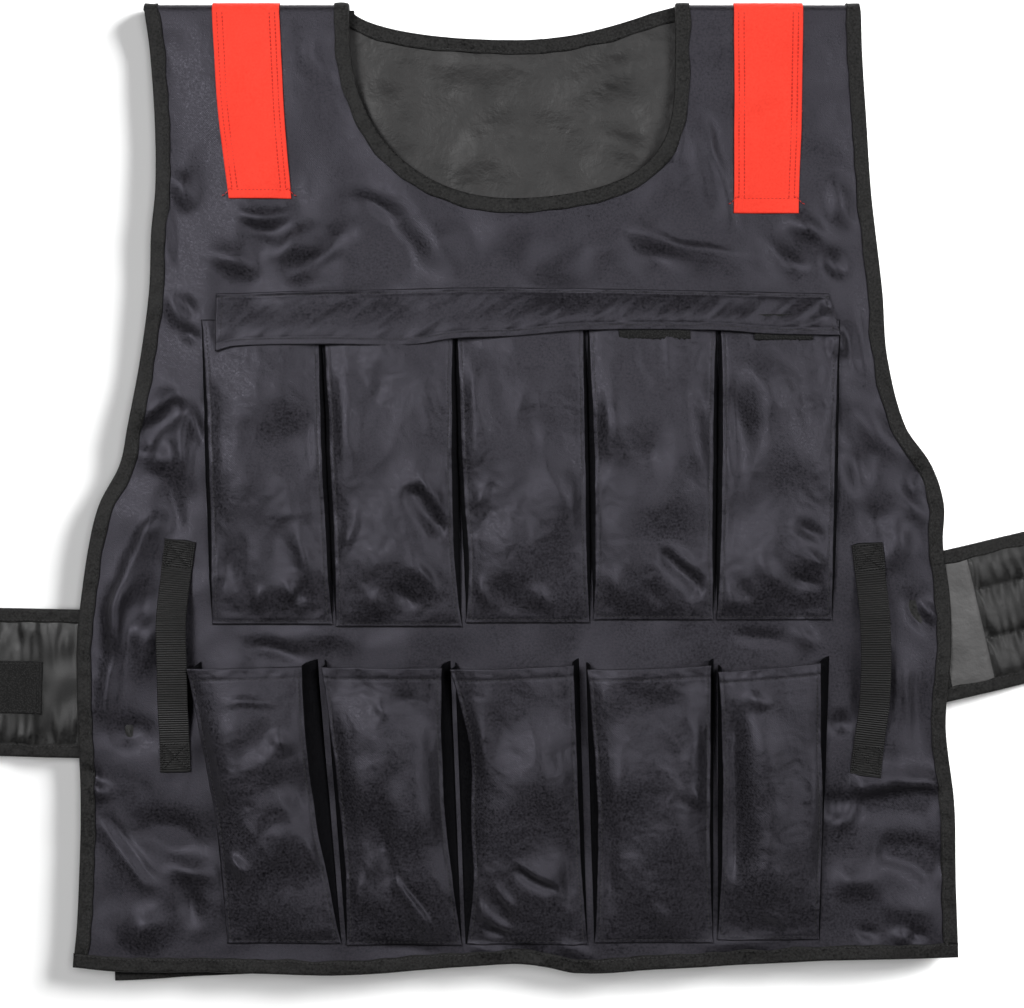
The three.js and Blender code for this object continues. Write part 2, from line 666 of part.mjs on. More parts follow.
// A webbing handle: flat where its ends are sewn, and raised between them for the fingers.
function handle({ top, line }) {
  const sheet = new Sheet();
  const table = line.map((x, i) => ({ down: i / (line.length - 1), x }));
  const base = FRONT_TOP + SEAM_GAP;
  const sewn = HANDLE_END / HANDLE_LENGTH;
  const rows = HANDLE_DOWN.map((down) => {
    const y = levelAt(top) - down * HANDLE_LENGTH;
    const x = HALF_WIDTH * read(table, "down", "x", down);
    const free = clamp((Math.min(down, 1 - down) - sewn) / HANDLE_CLIMB, 0, 1);
    const low = base + HANDLE_RISE * smooth(free);
    return [-0.5, 0.5].map((share) =>
      sheet.point(
        vec(x + share * HANDLE_WIDTH, y, low + WEBBING),
        vec(x + share * HANDLE_WIDTH, y, low),
      ),
    );
  });
  return sheet.grid(rows);
}

// A belt's middle line: its place and level at a share of its free length; below 0 it lies in the vest.
const BELT_LEVEL = { floor: BELT_EDGE / 2 + SEAM_GAP + TAPE };
BELT_LEVEL.sewn = BELT_LEVEL.floor + BACK_LEVEL + CLOTH / 2 + SEAM_GAP;
BELT_LEVEL.over = BELT_LEVEL.sewn + TAPE + SEAM_GAP;

function beltPoint(belt, share, across) {
  const along = share * BELT_FREE_LENGTH;
  const tilt = THREE.MathUtils.degToRad(belt.tilt);
  const climb = smooth((share - BELT_CLIMB.from) / BELT_CLIMB.over);
  const fall = smooth((share - BELT_FALL.from) / BELT_FALL.over);
  const level = mix(mix(BELT_LEVEL.sewn, BELT_LEVEL.over, climb), BELT_LEVEL.floor, fall);
  const edge = sideX(belt.side, belt.down);
  const x = edge + belt.side * (along * Math.cos(tilt) - across * Math.sin(tilt));
  const y = levelAt(belt.down) + along * Math.sin(tilt) + across * Math.cos(tilt);
  return vec(x, y, level);
}

function beltShares() {
  const sewn = -BELT_SEWN_LENGTH / BELT_FREE_LENGTH;
  return BELT_STEPS.filter((share) => share >= sewn - 1e-9);
}

function beltBody(belt) {
  const sheet = new Sheet();
  const half = BELT_WIDTH / 2;
  const bare = BELT_COLUMNS.at(-2);
  const rows = beltShares().map((share) =>
    BELT_COLUMNS.map((across) => {
      const round = Math.sqrt(Math.max(0, 1 - (across / bare) ** 4));
      const channel = belt.lobes > 1 ? 1 - CHANNEL_DIP * (1 + Math.cos(Math.PI * belt.lobes * across)) : 1;
      const nearEnd = smooth((BELT_STEPS.at(-2) - share) / BELT_END_FADE);
      const swell = (BELT_THICKNESS / 2 - BELT_EDGE / 2) * round * channel * nearEnd;
      const middle = beltPoint(belt, share, across * half);
      const [up, low] = [BELT_EDGE / 2 + swell, BELT_EDGE / 2 + Math.min(swell, TAPE)];
      return sheet.point(middle.clone().setZ(middle.z + up), middle.clone().setZ(middle.z - low));
    }),
  );
  return sheet.grid(rows);
}

// The tape round a belt's two long edges and its free end.
function beltBinding(belt) {
  const half = BELT_WIDTH / 2;
  const shares = beltShares();
  const long = (way) =>
    shares.map((share) => ({
      edge: beltPoint(belt, share, way * half),
      inner: beltPoint(belt, share, 0),
    }));
  const middle = { edge: beltPoint(belt, 1, 0), inner: beltPoint(belt, 0.9, 0) };
  const corners = [1, -1].map((way) => ({
    edge: beltPoint(belt, 1, way * half),
    inner: beltPoint(belt, 1 - half / BELT_FREE_LENGTH, 0),
  }));
  const path = [...long(1).slice(0, -1), corners[0], middle, corners[1], ...long(-1).slice(0, -1).toReversed()];
  return binding(
    path.map(({ edge, inner }) => {
      const corner = corners.some((item) => item.edge.distanceTo(edge) < 1e-6);
      const inward = inner.clone().sub(edge).setZ(0).normalize().multiplyScalar(corner ? Math.SQRT2 : 1);
      return { edge, inward, up: vec(0, 0, 1) };
    }),
    BELT_EDGE,
  );
}

// The hook-and-loop patch that faces up on the left belt.
function beltPatch(belt) {
  const sheet = new Sheet();
  const rows = PATCH_SHARES.map((share) => {
    const place = Math.min(share, PATCH_SHARES[0] + BELT_PATCH_LENGTH / BELT_FREE_LENGTH);
    return [-0.5, 0, 0.5].map((across) => {
      const middle = beltPoint(belt, place, across * BELT_PATCH_WIDTH - BELT_PATCH_OFFSET);
      const low = middle.z + BELT_THICKNESS / 2 + SEAM_GAP;
      return sheet.point(middle.clone().setZ(low + TAPE), middle.clone().setZ(low));
    });
  });
  return sheet.grid(rows);
}

const group = new THREE.Group();
group.name = "weighted_vest";

function add(name, sheet, colour, roughness) {
  const material = new THREE.MeshStandardMaterial({ color: COLOURS[colour], roughness, metalness: 0 });
  const mesh = new THREE.Mesh(sheet.geometry(), material);
  mesh.name = name;
  group.add(mesh);
}

add("back_panel", back, "lining", 0.75);
add("front_panel", front, "cloth", 0.6);
add("neck_binding_front", frontNeckBinding(), "tape", 0.8);
add("neck_binding_back", backNeckBinding(), "tape", 0.8);
for (const [name, side] of [["left", -1], ["right", 1]]) {
  add(`side_binding_front_${name}`, frontSideBinding(side), "tape", 0.8);
  add(`side_binding_back_${name}`, backSideBinding(side), "tape", 0.8);
}
add("hem_binding_front", frontHemBinding(), "tape", 0.8);
add("hem_binding_back", backHemBinding(), "tape", 0.8);
STRIPS.forEach((strip) => add(strip.name, shoulderStrip(strip), "red", 0.7));
UPPER_POCKETS.forEach((shape, i) => {
  const body = pocket(shape, UPPER_SWELL, UPPER_MOUTH_Y, UPPER_POCKET_LENGTH, UPPER_POCKET_DEPTH);
  add(`upper_pocket_${i + 1}`, body, "cloth", 0.6);
});
LOWER_POCKETS.forEach((shape, i) => {
  const body = pocket(shape, LOWER_SWELL, LOWER_MOUTH_Y, LOWER_POCKET_LENGTH, LOWER_POCKET_DEPTH);
  add(`lower_pocket_${i + 1}`, body, "cloth", 0.6);
});
add("pocket_flap", flap(), "cloth", 0.6);
FASTENERS.forEach((strip) => add(strip.name, fastener(strip), "fastener", 0.9));
HANDLES.forEach((item) => add(item.name, handle(item), "webbing", 0.8));
BELTS.forEach((belt) => {
  add(`belt_${belt.name}`, beltBody(belt), "belt", 0.7);
  add(`belt_binding_${belt.name}`, beltBinding(belt), "tape", 0.8);
});
add("belt_patch_left", beltPatch(BELTS[0]), "fastener", 0.9);

export default group;
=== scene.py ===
"""A weighted vest, laid flat on its back on a pale floor and seen from straight above.

Lengths are millimetres in the vest's own frame, where nothing else is said: x to the right, y
towards the shoulders, z up from the floor. They become metres when a mesh is made.
"""

from __future__ import annotations

import logging
import math
from dataclasses import dataclass, field
from enum import Enum

import bpy
import numpy as np
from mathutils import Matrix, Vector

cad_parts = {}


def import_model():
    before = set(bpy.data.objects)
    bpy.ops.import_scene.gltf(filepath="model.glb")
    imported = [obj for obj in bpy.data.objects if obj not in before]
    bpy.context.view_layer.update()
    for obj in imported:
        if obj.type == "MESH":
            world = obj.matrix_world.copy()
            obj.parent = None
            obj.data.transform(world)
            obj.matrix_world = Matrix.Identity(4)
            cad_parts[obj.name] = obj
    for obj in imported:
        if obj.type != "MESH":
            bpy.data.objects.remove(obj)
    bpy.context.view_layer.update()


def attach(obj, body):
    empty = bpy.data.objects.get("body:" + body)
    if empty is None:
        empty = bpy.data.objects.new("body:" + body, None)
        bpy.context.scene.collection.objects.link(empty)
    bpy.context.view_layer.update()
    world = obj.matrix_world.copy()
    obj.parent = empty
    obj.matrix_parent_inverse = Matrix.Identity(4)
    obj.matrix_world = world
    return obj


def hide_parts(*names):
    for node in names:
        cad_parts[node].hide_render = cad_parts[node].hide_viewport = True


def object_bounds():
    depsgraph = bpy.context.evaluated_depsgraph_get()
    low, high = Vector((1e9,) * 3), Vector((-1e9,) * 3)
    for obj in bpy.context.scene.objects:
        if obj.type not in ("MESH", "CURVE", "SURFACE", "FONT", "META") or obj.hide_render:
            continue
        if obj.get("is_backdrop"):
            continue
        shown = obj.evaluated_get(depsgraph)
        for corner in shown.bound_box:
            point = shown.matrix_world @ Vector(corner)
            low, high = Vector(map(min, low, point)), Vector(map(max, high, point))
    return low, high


LOG = logging.getLogger("vest")
Array = np.ndarray
Object = bpy.types.Object
Socket = bpy.types.NodeSocket
Tone = tuple[float, float, float]

MM = 0.001
METRE = 1000.0

CLOTH = 1.2
TAPE = 1.0
SEAM_GAP = 0.3
FLOOR_CLEAR = 0.9
VEST_LENGTH = 642.0
HALF_WIDTH = 292.0
SHOULDER_Y = 321.0
NECK_HALF_WIDTH = 110.0
HEM_DIP = 5.0
BACK_LEVEL = TAPE + SEAM_GAP + CLOTH / 2
FRONT_LEVEL = BACK_LEVEL + CLOTH + 8.5
FRONT_TOP = FRONT_LEVEL + CLOTH / 2
ROLL_RADIUS = (FRONT_LEVEL - BACK_LEVEL) / 2
ROLL_LINE_Y = SHOULDER_Y - ROLL_RADIUS - CLOTH / 2
HEM_Y = SHOULDER_Y - VEST_LENGTH
# How far above the hem its own line still moves the cloth.
HEM_FADE = 30.0
ROLL_STEPS = 15
CURVE_POINTS = 900
# Half the width of the line that a row of stitches presses in.
GROOVE = 0.8

# down is a share of the vest's length, left and right of its half width.
OUTLINE = np.array([
    (0.00, 0.838, 0.792), (0.05, 0.824, 0.797), (0.12, 0.813, 0.806), (0.19, 0.811, 0.816),
    (0.24, 0.821, 0.828), (0.30, 0.826, 0.843), (0.37, 0.847, 0.855), (0.44, 0.875, 0.896),
    (0.48, 0.894, 0.955), (0.52, 0.939, 0.983), (0.56, 0.962, 0.981), (0.62, 0.982, 0.998),
    (0.67, 0.991, 1.000), (0.75, 0.988, 0.988), (0.83, 0.982, 1.007), (0.90, 0.985, 1.010),
    (0.96, 0.991, 1.014), (1.00, 1.000, 1.016),
])
# across is a share of the half width; the front and back hems' drops are shares of HEM_DIP.
HEMS = np.array([
    (-1.0, 0.0, 2.0), (-0.886, 0.54, 2.0), (-0.72, 0.54, 1.35), (-0.386, 0.94, 0.6),
    (-0.2, 0.26, -0.3), (0.0, -0.54, -1.1), (0.075, -0.14, -0.8), (0.15, 0.72, 0.2),
    (0.336, 0.14, -0.4), (0.52, -0.4, -1.0), (0.745, -1.06, -1.6), (1.016, -1.34, -1.8),
])


def read_table(table: Array, column: int, at: Array) -> Array:
    """The value of a column on a smooth line through a table's rows.

    A cubic runs between each two rows, with the slope at a row taken from its two neighbours.

    Args:
        table: rows whose first column rises.
        column: the column to read.
        at: places along the first column.

    Returns:
        The values, in the shape of at.
    """
    key, value = table[:, 0], table[:, column]
    place = np.clip(np.asarray(at, float), key[0], key[-1])
    i = np.clip(np.searchsorted(key, place, side="left"), 1, len(key) - 1)
    before, after = np.maximum(i - 2, 0), np.minimum(i + 1, len(key) - 1)
    width = key[i] - key[i - 1]
    t = (place - key[i - 1]) / width
    slope_a = (value[i] - value[before]) / (key[i] - key[before]) * width
    slope_b = (value[after] - value[i - 1]) / (key[after] - key[i - 1]) * width
    return (
        (2 * t**3 - 3 * t**2 + 1) * value[i - 1]
        + (t**3 - 2 * t**2 + t) * slope_a
        + (3 * t**2 - 2 * t**3) * value[i]
        + (t**3 - t**2) * slope_b
    )


def smooth(t: Array) -> Array:
    """A soft step from 0 to 1: three t squared less two t cubed, with t held between 0 and 1."""
    t = np.clip(t, 0, 1)
    return t * t * (3 - 2 * t)


def bell(off: Array, width: Array | float) -> Array:
    """A bell, 1 in its middle: e to the power of minus the square of off over width."""
    return np.exp(-((off / width) ** 2))


def as_grid(*parts: Array) -> Array:
    """Coordinates spread to one size and set side by side along a third axis."""
    return np.stack(np.broadcast_arrays(*parts), axis=2)


def soft_noise(x: Array, y: Array, size: float, seed: int) -> Array:
    """Soft random hills from about -1 to 1.

    Each corner of a square grid has a random slope, and the planes through four corners are
    joined by soft steps.

    Args:
        x: places across.
        y: places along.
        size: the grid's pitch.
        seed: which random slopes.

    Returns:
        The height at each place.
    """
    angles = np.random.default_rng(seed).uniform(0, math.tau, (64, 64))
    u, v = np.broadcast_arrays(x / size, y / size)
    i, j = np.floor(u).astype(int), np.floor(v).astype(int)
    s, t = u - i, v - j
    ease_s, ease_t = (k**3 * (k * (6 * k - 15) + 10) for k in (s, t))

    def plane(di: int, dj: int) -> Array:
        """The plane through one corner."""
        angle = angles[(i + di) % 64, (j + dj) % 64]
        return np.cos(angle) * (s - di) + np.sin(angle) * (t - dj)

    low = plane(0, 0) * (1 - ease_s) + plane(1, 0) * ease_s
    high = plane(0, 1) * (1 - ease_s) + plane(1, 1) * ease_s
    return 1.5 * (low * (1 - ease_t) + high * ease_t)


def crumple(x: Array, y: Array, size: float, seed: int) -> Array:
    """Creased hills, whose crests run where warped soft noise crosses zero.

    The height is 1 less two and a half times the size of the noise.

    Args:
        x: places across.
        y: places along.
        size: the hills' pitch.
        seed: which random hills.

    Returns:
        The height at each place, from about -1 to 1.
    """
    bend = 0.5 * size
    u = x + bend * soft_noise(x, y, size * 1.6, seed + 31)
    v = y + bend * soft_noise(x, y, size * 1.6, seed + 57)
    return 1 - 2 * np.sqrt(soft_noise(u, v, size, seed) ** 2 + 0.004) / 0.8


@dataclass(frozen=True)
class Fold:
    """One ridge or valley of cloth along a line that may be bowed.

    Its height is rise times a bell across the line, with its own width on each hand, and a soft
    step at both ends.

    Attributes:
        start: where it starts, (x, y).
        end: where it ends.
        rise: its height; below 0 it is a valley.
        left: the bell's width on the left hand, looking from start to end.
        right: the bell's width on the right hand.
        bow: how far its middle is pushed to the left.
        soft: the share of its length over which each end fades.
    """

    start: tuple[float, float]
    end: tuple[float, float]
    rise: float
    left: float
    right: float
    bow: float = 0.0
    soft: float = 0.5

    def height(self, x: Array, y: Array) -> Array:
        """The fold's height: a bell of the distance from its line, faded at both ends.

        Args:
            x: places across.
            y: places along.

        Returns:
            The height at each place.
        """
        dx, dy = self.end[0] - self.start[0], self.end[1] - self.start[1]
        length = math.hypot(dx, dy)
        px, py = x - self.start[0], y - self.start[1]
        t = (px * dx + py * dy) / length**2
        off = (dx * py - dy * px) / length - self.bow * 4 * t * (1 - t)
        across = bell(off, np.where(off > 0, self.left, self.right))
        ends = smooth(t / self.soft) * smooth((1 - t) / self.soft)
        return self.rise * across * ends


def lay_folds(*rows: tuple[float, ...]) -> tuple[Fold, ...]:
    """Folds from rows of start x, y, end x, y, rise, left width, right width, bow and softness."""
    return tuple(Fold(row[:2], row[2:4], *row[4:]) for row in rows)


@dataclass(frozen=True)
class Relief:
    """How cloth lies: its folds, and finer creases spread over it.

    Attributes:
        folds: the folds that are given one by one.
        waves: height of the soft hills between the folds.
        creases: height of the creased ones.
        seed: which random hills.
        gain: a factor on the folds' heights.
    """

    folds: tuple[Fold, ...] = ()
    waves: float = 0.5
    creases: float = 0.4
    seed: int = 1
    gain: float = 1.0

    def height(self, x: Array, y: Array) -> Array:
        """The sum of soft hills, creased ones of two sizes, and all the folds.

        The folds are read at places that soft noise has moved a little, so no fold runs straight.

        Args:
            x: places across.
            y: places along.

        Returns:
            The height at each place.
        """
        total = self.waves * soft_noise(x + 0.4 * y, y - 0.3 * x, 46, self.seed)
        patchy = 0.6 + 0.6 * soft_noise(x, y, 60, self.seed + 4)
        total = total + self.creases * patchy * crumple(x, 0.8 * y, 30, self.seed + 1)
        total = total + 0.3 * self.creases * patchy * crumple(x + y, y - x, 13, self.seed + 2)
        u = x + 2.6 * soft_noise(x, y, 24, self.seed + 5)
        v = y + 2.6 * soft_noise(x, y, 24, self.seed + 6)
        for fold in self.folds:
            total = total + self.gain * fold.height(u, v)
        return total


def grid_quads(rows: int, columns: int, start: int = 0) -> Array:
    """The four corners of each cell of a grid of points, row by row.

    Args:
        rows: rows of points.
        columns: points in a row.
        start: the number of the grid's first point.

    Returns:
        An array of (cells, 4) point numbers.
    """
    first = (np.arange(rows - 1)[:, None] * columns + np.arange(columns - 1)[None, :]).ravel() + start
    return np.stack([first, first + columns, first + columns + 1, first + 1], axis=1)


def make_piece(
    name: str, points: Array, quads: Array, uv: Array | None = None
) -> Object:
    """A smooth mesh object at the origin, from points in millimetres.

    Args:
        name: the piece's name.
        points: (n, 3) places.
        quads: (m, 4) corners of each face.
        uv: (n, 2) pattern places in millimetres, or None.

    Returns:
        The new object, linked to the scene.
    """
    mesh = bpy.data.meshes.new(name)
    mesh.vertices.add(len(points))
    mesh.vertices.foreach_set("co", (points * MM).astype(np.float32).ravel())
    mesh.loops.add(quads.size)
    mesh.loops.foreach_set("vertex_index", quads.astype(np.int32).ravel())
    mesh.polygons.add(len(quads))
    mesh.polygons.foreach_set("loop_start", (np.arange(len(quads)) * 4).astype(np.int32))
    mesh.polygons.foreach_set("use_smooth", np.ones(len(quads), bool))
    mesh.update(calc_edges=True)
    if uv is not None:
        layer = mesh.uv_layers.new(name="UVMap")
        layer.data.foreach_set("uv", (uv[quads.ravel()] * MM).astype(np.float32).ravel())
    mesh.validate()
    piece = bpy.data.objects.new(name, mesh)
    bpy.context.scene.collection.objects.link(piece)
    return piece


def sheet_piece(
    name: str, grid: Array, uv: Array | None = None, flip: bool = False
) -> Object:
    """A piece from a (rows, columns, 3) grid of points.

    Args:
        name: the piece's name.
        grid: its points.
        uv: a (rows, columns, 2) grid of pattern places, or None.
        flip: whether to turn its faces round.

    Returns:
        The new object.
    """
    rows, columns = grid.shape[:2]
    quads = grid_quads(rows, columns)
    if flip:
        quads = quads[:, ::-1]
    flat = None if uv is None else uv.reshape(-1, 2)
    return make_piece(name, grid.reshape(-1, 3), quads, flat)


def give_wall(piece: Object, thickness: float) -> None:
    """Gives a sheet its thickness below the surface that was made.

    Args:
        piece: the sheet.
        thickness: its wall.
    """
    wall = piece.modifiers.new("wall", "SOLIDIFY")
    wall.thickness = thickness * MM
    wall.offset = -1.0


def along_lengths(path: Array) -> Array:
    """How far along a path each of its points lies."""
    steps = np.linalg.norm(np.diff(path, axis=0), axis=1)
    return np.concatenate([[0.0], np.cumsum(steps)])


def even_path(path: Array, pitch: float) -> Array:
    """A path's points at an even pitch, by straight steps between the old ones.

    Args:
        path: (n, 3) places.
        pitch: the distance between two points, as near as the path's length allows.

    Returns:
        The new points.
    """
    at = along_lengths(path)
    count = max(2, round(at[-1] / pitch) + 1)
    where = np.linspace(0, at[-1], count)
    return np.stack([np.interp(where, at, path[:, k]) for k in range(path.shape[1])], axis=1)


def level_ways(path: Array, hand: int) -> Array:
    """Level ways at right angles to a path.

    Args:
        path: (n, 3) places.
        hand: 1 for ways to its left, -1 to its right.

    Returns:
        (n, 3) ways of length 1.
    """
    way = np.gradient(path, axis=0)
    way[:, 2] = 0
    way /= np.linalg.norm(way, axis=1, keepdims=True)
    return np.stack([-way[:, 1] * hand, way[:, 0] * hand, 0 * way[:, 0]], axis=1)


def over_roll(x: Array, lift: float) -> Array:
    """A sheet's roll over the shoulder, a half circle about the sewn line.

    y is the line's plus the radius times the sine, and z the middle level plus the radius times
    the cosine.

    Args:
        x: places across.
        lift: how far the sheet lies over the front panel's upper face.

    Returns:
        A (rows, places, 3) grid from the back round to the front.
    """
    angle = np.linspace(math.pi, 0, ROLL_STEPS)[:-1, None]
    radius = ROLL_RADIUS + CLOTH / 2 + lift
    y = ROLL_LINE_Y + radius * np.sin(angle)
    return as_grid(x[None, :], y, FRONT_LEVEL - ROLL_RADIUS + radius * np.cos(angle))


class Slot(Enum):
    """The record's material slots."""

    CLOTH = "cloth"
    LINING = "lining"
    TAPE = "binding_tape"
    RED = "red_cloth"
    WEBBING = "webbing"
    BELT = "belt_cloth"
    PILE = "fastener_pile"


class Shader:
    """A material under construction, with short ways to add and join its nodes."""

    def __init__(self, name: str) -> None:
        """Starts a material with a Principled shader alone.

        Args:
            name: the material's name.
        """
        self.material = bpy.data.materials.new(name)
        self.material.use_nodes = True
        self.tree = self.material.node_tree
        self.surface = self.tree.nodes["Principled BSDF"]
        self.place = self.tree.nodes.new("ShaderNodeTexCoord").outputs["Object"]

    def node(self, kind: str, **values: object) -> bpy.types.Node:
        """A new node.

        Args:
            kind: its type, without the word that all types start with.
            values: its own settings, or its sockets by name with _ for spaces.

        Returns:
            The node.
        """
        made = self.tree.nodes.new("ShaderNode" + kind)
        for key, value in values.items():
            if hasattr(made, key):
                setattr(made, key, value)
            else:
                self.feed(made.inputs[key.replace("_", " ")], value)
        return made

    def feed(self, socket: Socket, value: object) -> None:
        """Joins a socket to another one, or sets its own value.

        Args:
            socket: the socket to feed.
            value: a node's output, or a plain value.
        """
        if isinstance(value, Socket):
            self.tree.links.new(value, socket)
        else:
            socket.default_value = value

    def noise(self, scale: float, detail: float = 3.0) -> Socket:
        """Soft random values at a scale in repeats for each metre."""
        made = self.node("TexNoise", Scale=scale, Detail=detail, Roughness=0.6, Vector=self.place)
        return made.outputs["Fac"]

    def ribs(self, way: str, pitch: float, warp: float, place: Socket) -> bpy.types.Node:
        """A wave that repeats at a pitch in millimetres along X or Y, warped a little."""
        scale = METRE / pitch / math.tau * 2
        return self.node("TexWave", bands_direction=way, Scale=scale, Distortion=warp, Vector=place)

    def maths(self, operation: str, a: object, b: object) -> Socket:
        """The result of one sum.

        Args:
            operation: the sum's name.
            a: its first value or socket.
            b: its second.

        Returns:
            The result's socket.
        """
        made = self.tree.nodes.new("ShaderNodeMath")
        made.operation = operation
        self.feed(made.inputs[0], a)
        self.feed(made.inputs[1], b)
        return made.outputs[0]

    def spread(self, value: Socket, low: float, high: float) -> Socket:
        """A value from 0.3 to 0.7 carried over to another range.

        Args:
            value: the value's socket.
            low: the result at 0.3.
            high: the result at 0.7.

        Returns:
            The result's socket.
        """
        made = self.node("MapRange", Value=value)
        for key, number in {"From Min": 0.3, "From Max": 0.7, "To Min": low, "To Max": high}.items():
            made.inputs[key].default_value = number
        return made.outputs[0]

    def weighed(self, first: object, second: object, share: float) -> Socket:
        """A share of the first value plus the rest of the second."""
        part, rest = self.maths("MULTIPLY", first, share), self.maths("MULTIPLY", second, 1 - share)
        return self.maths("ADD", part, rest)

    def blend(self, factor: object, low: tuple, high: tuple) -> Socket:
        """A colour between two.

        Args:
            factor: how far it is from low to high.
            low: the colour at 0.
            high: the colour at 1.

        Returns:
            The result's socket.
        """
        made = self.node("Mix", data_type="RGBA")
        self.feed(made.inputs[0], factor)
        self.feed(made.inputs[6], (*low, 1))
        self.feed(made.inputs[7], (*high, 1))
        return made.outputs[2]

    def bump(
        self, height: Socket, distance: float, under: object = None
    ) -> Socket:
        """A fine relief.

        Args:
            height: its height's socket, from 0 to 1.
            distance: its depth in metres.
            under: another relief that it lies on, or None.

        Returns:
            The normal's socket.
        """
        made = self.node("Bump", Height=height)
        made.inputs["Strength"].default_value = 1.0
        made.inputs["Distance"].default_value = distance
        if under is not None:
            self.feed(made.inputs["Normal"], under)
        return made.outputs[0]

    def finish(
        self, colour: object, roughness: object, normal: object, **uniform: object
    ) -> bpy.types.Material:
        """Joins the results to the surface.

        Args:
            colour: the base colour.
            roughness: how matt it is.
            normal: its relief.
            uniform: values that go straight to the shader's own sockets.

        Returns:
            The material.
        """
        self.feed(self.surface.inputs["Base Color"], colour)
        self.feed(self.surface.inputs["Roughness"], roughness)
        self.feed(self.surface.inputs["Normal"], normal)
        for key, value in uniform.items():
            self.surface.inputs[key.replace("_", " ")].default_value = value
        return self.material


@dataclass(frozen=True)
class Finish:
    """What every finish has.

    Attributes:
        name: the material's name.
        dark: its darker tone.
        light: its lighter tone.
    """

    name: str
    dark: Tone
    light: Tone


@dataclass(frozen=True)
class WovenFinish(Finish):
    """A woven cloth: fine diagonal ribs, a grain of single threads, and a soft sheen.

    Attributes:
        roughness: how matt it is, from 0 to 1.
        sheen: the strength of the light that its raised threads catch.
        gloss_tint: the colour of its gloss.
        pitch: the ribs' pitch.
        depth: the ribs' depth.
        grain: how much single threads differ in tone.
        specular: the strength of its gloss.
        thread: the grain's size.
        fine: the size of the finest relief.
        patches: soft patches of tone in a metre.
        twill: the ribs' turn, in degrees.
        uneven: how much the roughness differs from thread to thread.
    """

    roughness: float = 0.46
    sheen: float = 0.012
    gloss_tint: Tone = (0.86, 0.83, 1.0)
    pitch: float = 0.9
    depth: float = 0.06
    grain: float = 0.86
    specular: float = 0.36
    thread: float = 1.5
    fine: float = 1.2
    patches: float = 9.0
    twill: float = 52.0
    uneven: float = 0.14

    def build(self) -> bpy.types.Material:
        """Makes the material.

        The tone mixes large soft patches with a fine grain; the relief is a diagonal wave at the
        ribs' pitch with fine noise under it.

        Returns:
            The material.
        """
        s = Shader(self.name)
        patches = s.noise(self.patches, 4.0)
        grain = s.noise(METRE / self.thread, 2.0)
        colour = s.blend(s.spread(s.weighed(grain, patches, self.grain), 0.0, 1.0), self.dark, self.light)
        turned = s.node("Mapping", Vector=s.place)
        turned.inputs["Rotation"].default_value = (0, 0, math.radians(self.twill))
        ribs = s.ribs("X", self.pitch, 0.4, turned.outputs[0])
        fine = s.bump(s.noise(METRE / self.fine, 1.0), self.depth * 1.9 * MM)
        relief = s.bump(ribs.outputs["Fac"], self.depth * MM, fine)
        rough = s.spread(grain, self.roughness - self.uneven, self.roughness + self.uneven)
        return s.finish(
            colour, rough, relief, Sheen_Weight=self.sheen, Sheen_Roughness=0.45,
            Specular_Tint=(*self.gloss_tint, 1), Specular_IOR_Level=self.specular,
        )


@dataclass(frozen=True)
class RibbedFinish(Finish):
    """A narrow woven tape or webbing with ribs across it, laid out on the piece's own UV map.

    Attributes:
        pitch: the ribs' pitch.
        depth: their depth.
        roughness: how matt it is.
        specular: the strength of its gloss.
        thread: the grain's size.
    """

    pitch: float = 1.6
    depth: float = 0.3
    roughness: float = 0.7
    specular: float = 0.3
    thread: float = 0.8

    def build(self) -> bpy.types.Material:
        """Makes the material: a wave along the piece, warped a little, with a grain of threads.

        Returns:
            The material.
        """
        s = Shader(self.name)
        flat = s.tree.nodes.new("ShaderNodeUVMap")
        ribs = s.ribs("Y", self.pitch, 0.5, flat.outputs[0])
        ribs.inputs["Detail Scale"].default_value = 2.0
        grain = s.noise(METRE / self.thread, 2.0)
        mixed = s.weighed(ribs.outputs["Fac"], grain, 0.55)
        colour = s.blend(s.spread(mixed, 0.0, 1.0), self.dark, self.light)
        fine = s.bump(grain, 0.12 * MM)
        relief = s.bump(ribs.outputs["Fac"], self.depth * MM, fine)
        return s.finish(colour, self.roughness, relief, Specular_IOR_Level=self.specular)


@dataclass(frozen=True)
class CoatedFinish(Finish):
    """A coated lining: a smooth grey film over a plain weave, with soft creases.

    Attributes:
        clouds: cloudy patches in a metre.
        creases: creases in a metre.
        depth: the creases' depth.
        thread: the weave's size.
    """

    clouds: float = 22.0
    creases: float = 60.0
    depth: float = 1.6
    thread: float = 0.7

    def build(self) -> bpy.types.Material:
        """Makes the material: cloudy tones, a faint weave and irregular shallow creases.

        Returns:
            The material.
        """
        s = Shader(self.name)
        clouds = s.noise(self.clouds, 6.0)
        colour = s.blend(s.spread(clouds, 0.1, 0.9), self.dark, self.light)
        weave = s.bump(s.noise(METRE / self.thread, 2.0), 0.07 * MM)
        relief = s.bump(s.noise(self.creases, 4.0), self.depth * MM, weave)
        return s.finish(colour, s.spread(s.noise(70.0), 0.5, 0.64), relief, Specular_IOR_Level=0.4)


@dataclass(frozen=True)
class PileFinish(Finish):
    """A field of small hooks or loops: speckled, deep and matt.

    Attributes:
        hook: a hook's width.
    """

    hook: float = 1.1

    def build(self) -> bpy.types.Material:
        """Makes the material: cells a hook wide whose middles stand up, with a painted highlight that makes
        each middle lighter, as if it caught light.

        Returns:
            The material.
        """
        s = Shader(self.name)
        cells = s.node("TexVoronoi", Scale=METRE / self.hook, Vector=s.place)
        near = s.maths("SUBTRACT", 1.0, cells.outputs["Distance"])
        tips = s.maths("POWER", near, 3.0)
        # The colour is lighter towards each cell's middle: a painted highlight on the hooks' tips.
        colour = s.blend(tips, self.dark, self.light)
        return s.finish(colour, 0.85, s.bump(tips, 0.5 * MM), Specular_IOR_Level=0.2)


